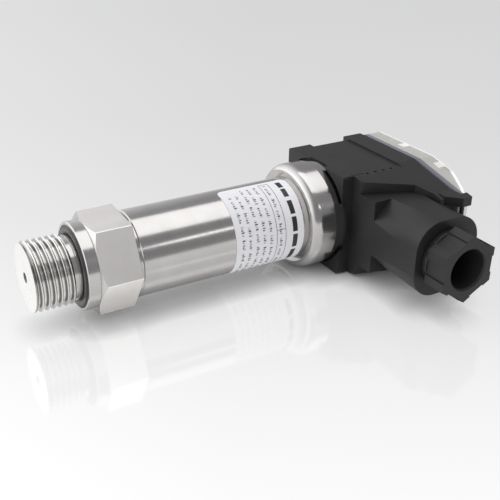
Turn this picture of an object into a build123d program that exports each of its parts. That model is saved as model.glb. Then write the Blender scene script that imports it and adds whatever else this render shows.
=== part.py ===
"""Pressure transmitter with a screwed process connection and a right-angle cable socket.

The origin is the centre of the sealing face, where the collar meets the counter face of the pressure port.
+Z runs along the body from the process thread to the cable socket, and +X points along the cable gland.
"""

from build123d import *
import os
from math import radians, sqrt, tan

os.makedirs("parts", exist_ok=True)

# Process thread, G 1/2 with a sealing ring behind it
THREAD_R = 20.955 / 2
THREAD_LENGTH = 14.0
LEAD_IN_DEPTH = 0.4
LEAD_IN_LENGTH = 1.1
RELIEF_R = 9.25
RELIEF_LENGTH = 2.5
NECK_R = 9.6
NECK_LENGTH = 1.2
PORT_R = 1.0
PORT_MOUTH_R = 1.6
PORT_MOUTH_DEPTH = 0.8

# Profile sealing ring in its groove
SEAL_R = 12.33
SEAL_DEPTH = 1.9
SEAL_PROUD = 0.35
SEAL_LIP = 0.5
SEAL_FIT = 0.03

# Collar and wrench hexagon
COLLAR_LENGTH = 3.5
COLLAR_CHAMFER = 0.25
HEX_LAND = 0.25
HEX_LENGTH = 12.1
HEX_TURN = 2.5
HEX_CHAMFER_ANGLE = 30.0

# Sensor chamber inside the hexagon
CHAMBER_R = 9.7
CHAMBER_FLOOR = 8.0
CELL_R = 9.4
CELL_HEIGHT = 6.0
CELL_RING_R = 5.6
CELL_RING_WIRE = 0.85
CELL_RING_SQUEEZE = 0.1
CLAMP_BORE_R = 6.4
CLAMP_HEIGHT = 4.0
CLAMP_SLOT = 2.0
CHAMBER_FIT = 0.08

# Tube
TUBE_R = 13.25
TUBE_WALL = 1.2
SHOULDER_STEP = 0.25
SHOULDER_LENGTH = 1.0
SPIGOT_LENGTH = 5.4
SPIGOT_FIT = 0.08
TUBE_LENGTH = 60.6
TUBE_EDGE = 0.25

# Label foil around the tube
LABEL_TO_HEAD = 1.5
LABEL_WIDTH = 24.2
LABEL_START = -92.0
LABEL_ARC = 244.0
LABEL_FOIL = 0.1
LABEL_GLUE = 0.03
LABEL_CORNER = 2.0

# Head ring that joins the tube to the plug
HEAD_STEP = 4.0
HEAD_FACE_STEP = 1.65
HEAD_FOOT_DEPTH = 0.5
HEAD_ROUND_HEIGHT = 3.2
HEAD_BEVEL_HEIGHT = 3.6
HEAD_BEVEL = 0.5
HEAD_HEIGHT = 11.2
HEAD_SOCKET_DEPTH = 4.2
HEAD_WEB = 1.4
HEAD_WEB_STEP = 0.15
HEAD_WALL = 2.0
HEAD_FIT = 0.03

# Circuit board and its holder
HOLDER_HEIGHT = 2.0
BOARD_WIDTH = 16.4
BOARD_THICKNESS = 1.6
BOARD_SEAT = 1.2
BOARD_FIT = 0.1
HOLDER_WINDOW_WIDTH = 12.0
HOLDER_WINDOW_DEPTH = 4.0
HOLDER_WINDOW_Y = 6.0
HOLDER_WINDOW_CORNER = 1.0
CHIP_SIDE = 7.0
CHIP_DEPTH = 1.6
CHIP_X = 3.0
CHIP_RISE = 12.0
REGULATOR_WIDTH = 4.0
REGULATOR_LENGTH = 5.0
REGULATOR_DEPTH = 1.2
REGULATOR_X = -4.5
REGULATOR_RISE = 26.0
CAPACITOR_R = 3.2
CAPACITOR_DEPTH = 3.4
CAPACITOR_X = 3.5
CAPACITOR_RISE = 37.0

# Plug insert with its blades
INSERT_FIT = 0.1
INSERT_NECK_GAP = 0.65
INSERT_NECK_LENGTH = 4.5
INSERT_NUT_R = 2.6
INSERT_RING_WIRE = 0.8
INSERT_RING_SQUEEZE = 0.05
BLADE_CIRCLE_R = 9.0
BLADE_WIDTH = 6.3
BLADE_THICKNESS = 0.8
BLADE_LENGTH = 11.5
BLADE_TAIL = 3.0
BLADE_TIP = 0.25
SLOT_FIT = 0.25

# Cable socket housing
GASKET_THICKNESS = 1.0
GASKET_STEP = 0.85
RECESS_CLEARANCE = 0.35
RECESS_DEPTH = 1.8
BASE_FROM_X = -15.8
BASE_TO_X = 15.5
BASE_SINK = 0.25
BASE_HEIGHT = 8.1
BASE_CORNER = 0.8
BODY_FROM_X = -13.3
BODY_STEP = 0.2
FLANGE_FROM_X = -15.6
FLANGE_TO_X = 35.6
FLANGE_LIP = 0.4
FLANGE_FLOOR = 22.5
HOUSING_HEIGHT = 29.8
TAPER_FROM_X = 13.8
TAPER = 0.22
GUSSET_FOOT_X = 19.4
GUSSET_TOP_X = 26.3
GUSSET_TOP = 19.9
GUSSET_LIP = 24.0
WALL = 2.0

# Cable boss of the housing
BOSS_AXIS = 15.6
BOSS_HALF = 12.2
BOSS_FLOOR = 4.0
BOSS_BACK = 27.7
BOSS_SQUARE_X = 27.0
BOSS_END_X = 47.3
BOSS_CHAMFER = 6.4
BOSS_ROUND = 8.6
ENTRY_HALF = 10.0
SEAT_FROM_X = 34.0
CABLE_PASSAGE_R = 6.4

# Contact carrier, its contacts and terminal screws
CARRIER_HALF_X = 11.2
CARRIER_HALF_Y = 13.3
CARRIER_HEIGHT = 11.8
CARRIER_FIT = 0.1
CARRIER_POST_R = 3.3
CARRIER_POST_HEIGHT = 22.8
CONTACT_WIDTH = 7.4
CONTACT_DEPTH = 2.6
CONTACT_FLOOR = 0.8
CONTACT_FIT = 0.1
TERMINAL_WIDTH = 6.8
TERMINAL_DEPTH = 4.6
TERMINAL_HEIGHT = 4.6
TERMINAL_CIRCLE_R = 8.1
TERMINAL_SCREW_R = 1.2
TERMINAL_HEAD_R = 1.7
TERMINAL_HEAD_HEIGHT = 1.2
TERMINAL_SCREW_DEPTH = 2.6
WIRE_HOLE_R = 1.1
WIRE_HOLE_RISE = 1.8

# Locking screw, M3, with its seal
SCREW_R = 1.5
SCREW_CLEARANCE = 0.15
SCREW_REACH = 5.0
SCREW_HEAD_R = 2.9
SCREW_HEAD_HEIGHT = 2.6
SCREW_SLOT_WIDTH = 0.8
SCREW_SLOT_DEPTH = 1.2
SCREW_SEAL_R = 3.1
SCREW_SEAL_THICKNESS = 0.8
SCREW_FIT = 0.02

# Hinged lid, its gasket and pin
PIN_X = 38.0
PIN_LIFT = 0.2
PIN_R = 1.1
PIN_EAR_FIT = 0.01
PIN_LID_FIT = 0.06
PIN_END_GAP = 0.05
EAR_FROM_Y = 10.5
EAR_THICKNESS = 2.9
EAR_COVER = 0.8
EAR_ROOT = 5.0
EAR_BACK = 1.6
EAR_REACH = 1.8
EAR_RISE = 2.2
EAR_SHOULDER = 1.3
EAR_DROP = 2.2
LID_GASKET_THICKNESS = 0.7
LID_GASKET_WIDTH = 1.3
LID_GASKET_INSET = 0.4
LID_GAP = 0.1
LID_INSET = 0.25
LID_WALL = 1.4
LID_HEIGHT = 7.9
LID_END_X = 35.0
LID_SLOPE_X = 22.5
LID_BEND_X = 32.0
LID_BEND_DROP = 4.0
LID_END_DROP = 5.6
LID_ROUND = 0.8
LID_CORNER = 1.5
LID_RIB_WIDTH = 3.0
LID_RIB_DEPTH = 0.7
LID_RIB_HEIGHT = 2.6
LID_RIB_PLACES = (1.0, 19.0)
KNUCKLE_R = 2.3
KNUCKLE_HALF = 5.5

# Cable gland
GLAND_BORE_R = 8.05
GLAND_SHANK_R = 8.0
GLAND_NUT_R = 6.35
GLAND_HEX_FLATS = 18.7
GLAND_HEX_LENGTH = 7.7
GLAND_ROOT_R = 9.3
GLAND_ROOT_LENGTH = 2.0
GLAND_ROOT_GAP = 0.2
GLAND_HEX_TURN = -1.4
GLAND_PANEL_WIDTH = 5.4
GLAND_PANEL_DEPTH = 0.45
GLAND_MOUTH = 0.5
GROMMET_LENGTH = 4.4
GROMMET_BORE_R = 4.0
GROMMET_FIT = 0.15
WASHER_THICKNESS = 0.8
WASHER_BORE_R = 6.0
GLAND_STACK_GAP = 0.1

# Radii and widths that follow from the tube
COLLAR_R = TUBE_R
HEX_FLATS = 2 * (TUBE_R + HEX_LAND)
SHOULDER_R = TUBE_R - SHOULDER_STEP
TUBE_BORE_R = TUBE_R - TUBE_WALL
HEAD_R = TUBE_R + HEAD_STEP
HEAD_FACE_R = TUBE_R + HEAD_FACE_STEP
HEAD_BORE_R = HEAD_R - HEAD_WALL
HEAD_WEB_R = TUBE_BORE_R + HEAD_WEB_STEP
INSERT_R = HEAD_BORE_R - INSERT_FIT
INSERT_NECK_R = TUBE_BORE_R - INSERT_NECK_GAP
GASKET_R = HEAD_R - GASKET_STEP
RECESS_R = HEAD_R + RECESS_CLEARANCE
BASE_HALF = HEAD_R - BASE_SINK
BODY_HALF = BASE_HALF - BODY_STEP
FLANGE_HALF = BASE_HALF + FLANGE_LIP

# Heights that follow from the stack of pieces
HEX_TOP = COLLAR_LENGTH + HEX_LENGTH
TUBE_START = HEX_TOP + SHOULDER_LENGTH
SPIGOT_TOP = TUBE_START + SPIGOT_LENGTH
TUBE_END = TUBE_START + TUBE_LENGTH
HEAD_FLOOR = TUBE_END - HEAD_SOCKET_DEPTH
HEAD_RIM = HEAD_FLOOR + HEAD_HEIGHT
LABEL_FROM = HEAD_FLOOR - HEAD_FOOT_DEPTH - LABEL_TO_HEAD - LABEL_WIDTH
INSERT_FLOOR = TUBE_END + HEAD_WEB
CELL_TOP = CHAMBER_FLOOR + CELL_HEIGHT
GASKET_TOP = HEAD_RIM + GASKET_THICKNESS
HOUSING_FRONT = GASKET_TOP - RECESS_DEPTH
HOUSING_REAR = HOUSING_FRONT + HOUSING_HEIGHT
CARRIER_TOP = GASKET_TOP + CARRIER_HEIGHT
POST_TOP = GASKET_TOP + CARRIER_POST_HEIGHT
GLAND_AXIS = HOUSING_FRONT + BOSS_AXIS
BOSS_FRONT_Z = HOUSING_FRONT + BOSS_FLOOR
BOSS_BACK_Z = HOUSING_FRONT + BOSS_BACK
PIN_Z = HOUSING_REAR + PIN_LIFT
EAR_OUTSIDE = EAR_FROM_Y + EAR_THICKNESS
LID_FLOOR = HOUSING_REAR + LID_GASKET_THICKNESS + LID_GAP
LID_TOP = LID_FLOOR + LID_HEIGHT
BLADE_TOP = HEAD_RIM + BLADE_LENGTH


def flank(x, inset=0.0):
    """Half-width of the tapered flank at x, moved inwards by an inset."""
    return FLANGE_HALF - TAPER * (x - TAPER_FROM_X) - inset * sqrt(1 + TAPER**2)


def wedge(from_x, to_x, inset=0.0):
    """Corners of the wedge between the tapered flanks, moved inwards by an inset."""
    return [
        (from_x, -flank(from_x, inset)),
        (to_x, -flank(to_x, inset)),
        (to_x, flank(to_x, inset)),
        (from_x, flank(from_x, inset)),
    ]


def plan_outline(from_x, to_x, half, inset=0.0):
    """Draws the plan outline, parallel sides cut by the tapered flanks, in the open sketch."""
    with Locations(((from_x + to_x) / 2, 0)):
        Rectangle(to_x - from_x, 2 * half)
    Polygon(*wedge(from_x, to_x, inset), align=None, mode=Mode.INTERSECT)


# Process connection, turned from bar with a milled hexagon
with BuildPart() as process_connection:
    with BuildSketch(Plane.XZ):
        with BuildLine():
            Polyline(
                (0, -THREAD_LENGTH),
                (THREAD_R - LEAD_IN_DEPTH, -THREAD_LENGTH),
                (THREAD_R, LEAD_IN_LENGTH - THREAD_LENGTH),
                (THREAD_R, -RELIEF_LENGTH),
                (RELIEF_R, -RELIEF_LENGTH),
                (RELIEF_R, -NECK_LENGTH),
                (NECK_R, -NECK_LENGTH),
                (NECK_R, SEAL_DEPTH),
                (SEAL_R, SEAL_DEPTH),
                (SEAL_R, 0),
                (COLLAR_R - COLLAR_CHAMFER, 0),
                (COLLAR_R, COLLAR_CHAMFER),
                (COLLAR_R, HEX_TOP),
                (SHOULDER_R, HEX_TOP),
                (SHOULDER_R, TUBE_START),
                (TUBE_BORE_R - SPIGOT_FIT, TUBE_START),
                (TUBE_BORE_R - SPIGOT_FIT, SPIGOT_TOP),
                (CHAMBER_R, SPIGOT_TOP),
                (CHAMBER_R, CHAMBER_FLOOR),
                (0, CHAMBER_FLOOR),
                close=True,
            )
        make_face()
    revolve(axis=Axis.Z)
    with BuildSketch(Plane.XY.offset(COLLAR_LENGTH)):
        RegularPolygon(HEX_FLATS / 2, 6, major_radius=False, rotation=HEX_TURN)
        Circle(COLLAR_R - COLLAR_CHAMFER, mode=Mode.SUBTRACT)
    extrude(amount=HEX_LENGTH)
    chamfer_rise = HEX_FLATS / 2 * tan(radians(HEX_CHAMFER_ANGLE))
    with BuildSketch(Plane.XZ):
        with BuildLine():
            Polyline(
                (0, -THREAD_LENGTH),
                (COLLAR_R, -THREAD_LENGTH),
                (COLLAR_R, COLLAR_LENGTH),
                (HEX_FLATS / 2, COLLAR_LENGTH),
                (HEX_FLATS, COLLAR_LENGTH + chamfer_rise),
                (HEX_FLATS, SPIGOT_TOP),
                (0, SPIGOT_TOP),
                close=True,
            )
        make_face()
    revolve(axis=Axis.Z, mode=Mode.INTERSECT)
    with BuildSketch(Plane.XZ):
        with BuildLine():
            Polyline(
                (0, -THREAD_LENGTH),
                (PORT_MOUTH_R, -THREAD_LENGTH),
                (PORT_R, PORT_MOUTH_DEPTH - THREAD_LENGTH),
                (PORT_R, CHAMBER_FLOOR),
                (0, CHAMBER_FLOOR),
                close=True,
            )
        make_face()
    revolve(axis=Axis.Z, mode=Mode.SUBTRACT)
    with BuildSketch(Plane.XY.offset(CHAMBER_FLOOR)):
        Circle(CELL_RING_R + CELL_RING_WIRE + CELL_RING_SQUEEZE)
        Circle(CELL_RING_R - CELL_RING_WIRE - CELL_RING_SQUEEZE, mode=Mode.SUBTRACT)
    extrude(amount=-2 * CELL_RING_WIRE, mode=Mode.SUBTRACT)
process_connection.part.label = "process_connection"
export_step(process_connection.part, "parts/process_connection.step")

# Profile sealing ring, held in the groove of the collar and slightly proud of it
with BuildPart() as profile_seal_ring:
    with BuildSketch(Plane.XZ):
        with BuildLine():
            Polyline(
                (NECK_R + SEAL_FIT, SEAL_DEPTH),
                (SEAL_R - SEAL_FIT, SEAL_DEPTH),
                (SEAL_R - SEAL_FIT, SEAL_LIP - SEAL_PROUD),
                (SEAL_R - SEAL_LIP, -SEAL_PROUD),
                (NECK_R + SEAL_LIP, -SEAL_PROUD),
                (NECK_R + SEAL_FIT, SEAL_LIP - SEAL_PROUD),
                close=True,
            )
        make_face()
    revolve(axis=Axis.Z)
profile_seal_ring.part.label = "profile_seal_ring"
export_step(profile_seal_ring.part, "parts/profile_seal_ring.step")

# Ceramic pressure cell with its ring below and its clamp ring above
with BuildPart() as cell_seal_ring:
    with BuildSketch(Plane.XZ):
        with Locations((CELL_RING_R, CHAMBER_FLOOR - CELL_RING_WIRE)):
            Rectangle(2 * CELL_RING_WIRE, 2 * CELL_RING_WIRE)
    revolve(axis=Axis.Z)
cell_seal_ring.part.label = "cell_seal_ring"
export_step(cell_seal_ring.part, "parts/cell_seal_ring.step")

with BuildPart() as pressure_cell:
    with BuildSketch(Plane.XY.offset(CHAMBER_FLOOR)):
        Circle(CELL_R)
    extrude(amount=CELL_HEIGHT)
pressure_cell.part.label = "pressure_cell"
export_step(pressure_cell.part, "parts/pressure_cell.step")

with BuildPart() as cell_clamp_ring:
    with BuildSketch(Plane.XY.offset(CELL_TOP)):
        Circle(CHAMBER_R - CHAMBER_FIT)
        Circle(CLAMP_BORE_R, mode=Mode.SUBTRACT)
    extrude(amount=CLAMP_HEIGHT)
    with BuildSketch(Plane.XY.offset(CELL_TOP + CLAMP_HEIGHT)):
        Rectangle(2 * CHAMBER_R, CLAMP_SLOT)
    extrude(amount=-CLAMP_HEIGHT / 2, mode=Mode.SUBTRACT)
cell_clamp_ring.part.label = "cell_clamp_ring"
export_step(cell_clamp_ring.part, "parts/cell_clamp_ring.step")

# Tube between the hexagon and the head
with BuildPart() as housing_tube:
    with BuildSketch(Plane.XY.offset(TUBE_START)):
        Circle(TUBE_R)
        Circle(TUBE_BORE_R, mode=Mode.SUBTRACT)
    extrude(amount=TUBE_LENGTH)
    chamfer(housing_tube.edges().filter_by(GeomType.CIRCLE).sort_by(SortBy.RADIUS)[-2:], TUBE_EDGE)
housing_tube.part.label = "housing_tube"
export_step(housing_tube.part, "parts/housing_tube.step")

# Label foil, wrapped around most of the tube
with BuildPart() as rating_label:
    label_inner_r = TUBE_R + LABEL_GLUE
    with BuildSketch(Plane.XY.offset(LABEL_FROM)):
        with BuildLine():
            outer = CenterArc((0, 0), label_inner_r + LABEL_FOIL, LABEL_START, LABEL_ARC)
            inner = CenterArc((0, 0), label_inner_r, LABEL_START, LABEL_ARC)
            Line(outer @ 0, inner @ 0)
            Line(outer @ 1, inner @ 1)
        make_face()
    extrude(amount=LABEL_WIDTH)
    for angle, inwards in ((LABEL_START, 1), (LABEL_START + LABEL_ARC, -1)):
        for height, upwards in ((LABEL_FROM, 1), (LABEL_FROM + LABEL_WIDTH, -1)):
            corner = Plane(
                origin=Vector(TUBE_R, 0, height).rotate(Axis.Z, angle),
                x_dir=Vector(0, inwards, 0).rotate(Axis.Z, angle),
                z_dir=Vector(1, 0, 0).rotate(Axis.Z, angle),
            )
            reach = inwards * upwards * LABEL_CORNER
            near = 1 - sqrt(0.5)
            with BuildSketch(corner):
                with BuildLine():
                    Line((LABEL_CORNER, 0), (0, 0))
                    Line((0, 0), (0, reach))
                    ThreePointArc((0, reach), (near * LABEL_CORNER, near * reach), (LABEL_CORNER, 0))
                make_face()
            extrude(amount=LABEL_CORNER, both=True, mode=Mode.SUBTRACT)
rating_label.part.label = "rating_label"
export_step(rating_label.part, "parts/rating_label.step")

# Head ring, turned, with a rounded front and a slight bevel towards the socket
with BuildPart() as head_ring:
    with BuildSketch(Plane.XZ):
        with BuildLine():
            face_edge = (HEAD_FACE_R, HEAD_FLOOR - HEAD_FOOT_DEPTH)
            round_top = (HEAD_R, HEAD_FLOOR - HEAD_FOOT_DEPTH + HEAD_ROUND_HEIGHT)
            Polyline(
                round_top,
                (HEAD_R, HEAD_RIM - HEAD_BEVEL_HEIGHT),
                (HEAD_R - HEAD_BEVEL, HEAD_RIM),
                (HEAD_BORE_R, HEAD_RIM),
                (HEAD_BORE_R, INSERT_FLOOR),
                (HEAD_WEB_R, INSERT_FLOOR),
                (HEAD_WEB_R, TUBE_END),
                (TUBE_R + HEAD_FIT, TUBE_END),
                (TUBE_R + HEAD_FIT, HEAD_FLOOR),
                face_edge,
            )
            EllipticalCenterArc(
                (HEAD_FACE_R, HEAD_FLOOR - HEAD_FOOT_DEPTH + HEAD_ROUND_HEIGHT),
                HEAD_R - HEAD_FACE_R,
                HEAD_ROUND_HEIGHT,
                start_angle=270,
                arc_size=90,
            )
        make_face()
    revolve(axis=Axis.Z)
head_ring.part.label = "head_ring"
export_step(head_ring.part, "parts/head_ring.step")

# Holder that stands the circuit board on the spigot
with BuildPart() as board_holder:
    with BuildSketch(Plane.XY.offset(SPIGOT_TOP)):
        Circle(TUBE_BORE_R - SPIGOT_FIT)
        with Locations((0, HOLDER_WINDOW_Y), (0, -HOLDER_WINDOW_Y)):
            RectangleRounded(
                HOLDER_WINDOW_WIDTH,
                HOLDER_WINDOW_DEPTH,
                HOLDER_WINDOW_CORNER,
                mode=Mode.SUBTRACT,
            )
    extrude(amount=HOLDER_HEIGHT)
    with BuildSketch(Plane.XY.offset(SPIGOT_TOP + HOLDER_HEIGHT)):
        Rectangle(BOARD_WIDTH + 2 * BOARD_FIT, BOARD_THICKNESS + 2 * BOARD_FIT)
    extrude(amount=-BOARD_SEAT, mode=Mode.SUBTRACT)
board_holder.part.label = "board_holder"
export_step(board_holder.part, "parts/board_holder.step")

BOARD_FLOOR = SPIGOT_TOP + HOLDER_HEIGHT - BOARD_SEAT
BOARD_TOP = INSERT_FLOOR - INSERT_NECK_LENGTH + BOARD_SEAT

with BuildPart() as electronics_board:
    with BuildSketch(Plane.XY.offset(BOARD_FLOOR)):
        Rectangle(BOARD_WIDTH, BOARD_THICKNESS)
    extrude(amount=BOARD_TOP - BOARD_FLOOR)
electronics_board.part.label = "electronics_board"
export_step(electronics_board.part, "parts/electronics_board.step")

# Components on both faces of the board: a chip, a regulator and a round capacitor
with BuildPart() as board_components:
    for side in (1, -1):
        board_face = Plane(
            origin=(0, side * BOARD_THICKNESS / 2, BOARD_FLOOR),
            x_dir=(-side, 0, 0),
            z_dir=(0, side, 0),
        )
        with BuildSketch(board_face):
            with Locations((CHIP_X, CHIP_RISE)):
                Rectangle(CHIP_SIDE, CHIP_SIDE)
        extrude(amount=CHIP_DEPTH)
        with BuildSketch(board_face):
            with Locations((REGULATOR_X, REGULATOR_RISE)):
                Rectangle(REGULATOR_WIDTH, REGULATOR_LENGTH)
        extrude(amount=REGULATOR_DEPTH)
        with BuildSketch(board_face):
            with Locations((CAPACITOR_X, CAPACITOR_RISE)):
                Circle(CAPACITOR_R)
        extrude(amount=CAPACITOR_DEPTH)
board_components.part.label = "board_components"
export_step(board_components.part, "parts/board_components.step")

# Plug insert, moulded, with a seal groove and a seat for the threaded insert
with BuildPart() as plug_insert:
    with BuildSketch(Plane.XY.offset(INSERT_FLOOR)):
        Circle(INSERT_R)
    extrude(amount=HEAD_RIM - INSERT_FLOOR)
    with BuildSketch(Plane.XY.offset(INSERT_FLOOR)):
        Circle(INSERT_NECK_R)
    extrude(amount=-INSERT_NECK_LENGTH)
    insert_groove_r = HEAD_BORE_R - 2 * INSERT_RING_WIRE - INSERT_RING_SQUEEZE
    insert_groove_z = (INSERT_FLOOR + HEAD_RIM) / 2
    with BuildSketch(Plane.XY.offset(insert_groove_z - INSERT_RING_WIRE - INSERT_RING_SQUEEZE)):
        Circle(INSERT_R)
        Circle(insert_groove_r, mode=Mode.SUBTRACT)
    extrude(amount=2 * (INSERT_RING_WIRE + INSERT_RING_SQUEEZE), mode=Mode.SUBTRACT)
    with BuildSketch(Plane.XY.offset(INSERT_FLOOR - INSERT_NECK_LENGTH)):
        Rectangle(BOARD_WIDTH + 2 * BOARD_FIT, BOARD_THICKNESS + 2 * BOARD_FIT)
    extrude(amount=BOARD_SEAT + BOARD_FIT, mode=Mode.SUBTRACT)
    with BuildSketch(Plane.XY.offset(HEAD_RIM)):
        Circle(INSERT_NUT_R)
    extrude(amount=-(HEAD_RIM - INSERT_FLOOR), mode=Mode.SUBTRACT)
    with BuildSketch(Plane.XY.offset(HEAD_RIM)):
        with PolarLocations(BLADE_CIRCLE_R, 4):
            Rectangle(BLADE_THICKNESS, BLADE_WIDTH)
    extrude(amount=-(HEAD_RIM - INSERT_FLOOR + INSERT_NECK_LENGTH), mode=Mode.SUBTRACT)
plug_insert.part.label = "plug_insert"
export_step(plug_insert.part, "parts/plug_insert.step")

with BuildPart() as insert_seal_ring:
    with BuildSketch(Plane.XZ):
        with Locations((HEAD_BORE_R - INSERT_RING_WIRE - INSERT_RING_SQUEEZE / 2, insert_groove_z)):
            Rectangle(2 * INSERT_RING_WIRE - INSERT_RING_SQUEEZE, 2 * INSERT_RING_WIRE - INSERT_RING_SQUEEZE)
    revolve(axis=Axis.Z)
insert_seal_ring.part.label = "insert_seal_ring"
export_step(insert_seal_ring.part, "parts/insert_seal_ring.step")

# Threaded brass insert for the locking screw
with BuildPart() as threaded_insert:
    with BuildSketch(Plane.XY.offset(INSERT_FLOOR)):
        RegularPolygon(INSERT_NUT_R, 12)
        Circle(SCREW_R + SCREW_FIT, mode=Mode.SUBTRACT)
    extrude(amount=HEAD_RIM - INSERT_FLOOR)
threaded_insert.part.label = "threaded_insert"
export_step(threaded_insert.part, "parts/threaded_insert.step")

# Blades of the plug, three for the signal and one for earth on the gland side
BLADE_FOOT = INSERT_FLOOR - INSERT_NECK_LENGTH - BLADE_TAIL

with BuildPart() as contact_blades:
    with BuildSketch(Plane.XY.offset(BLADE_FOOT)):
        with PolarLocations(BLADE_CIRCLE_R, 3, start_angle=90, angular_range=180, endpoint=True):
            Rectangle(BLADE_THICKNESS, BLADE_WIDTH)
    extrude(amount=BLADE_TOP - BLADE_FOOT)
    chamfer(contact_blades.faces().sort_by(Axis.Z)[-3:].edges(), BLADE_TIP)
contact_blades.part.label = "contact_blades"
export_step(contact_blades.part, "parts/contact_blades.step")

with BuildPart() as earth_blade:
    with BuildSketch(Plane.XY.offset(BLADE_FOOT)):
        with Locations((BLADE_CIRCLE_R, 0)):
            Rectangle(BLADE_THICKNESS, BLADE_WIDTH)
    extrude(amount=BLADE_TOP - BLADE_FOOT)
    chamfer(earth_blade.faces().sort_by(Axis.Z)[-1].edges(), BLADE_TIP)
earth_blade.part.label = "earth_blade"
export_step(earth_blade.part, "parts/earth_blade.step")

# Flat gasket between the head and the cable socket
with BuildPart() as flat_gasket:
    with BuildSketch(Plane.XY.offset(HEAD_RIM)):
        Circle(GASKET_R)
        Circle(SCREW_R + SCREW_CLEARANCE, mode=Mode.SUBTRACT)
        with PolarLocations(BLADE_CIRCLE_R, 4):
            Rectangle(BLADE_THICKNESS + 2 * SLOT_FIT, BLADE_WIDTH + 2 * SLOT_FIT, mode=Mode.SUBTRACT)
    extrude(amount=GASKET_THICKNESS)
flat_gasket.part.label = "flat_gasket"
export_step(flat_gasket.part, "parts/flat_gasket.step")

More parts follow.
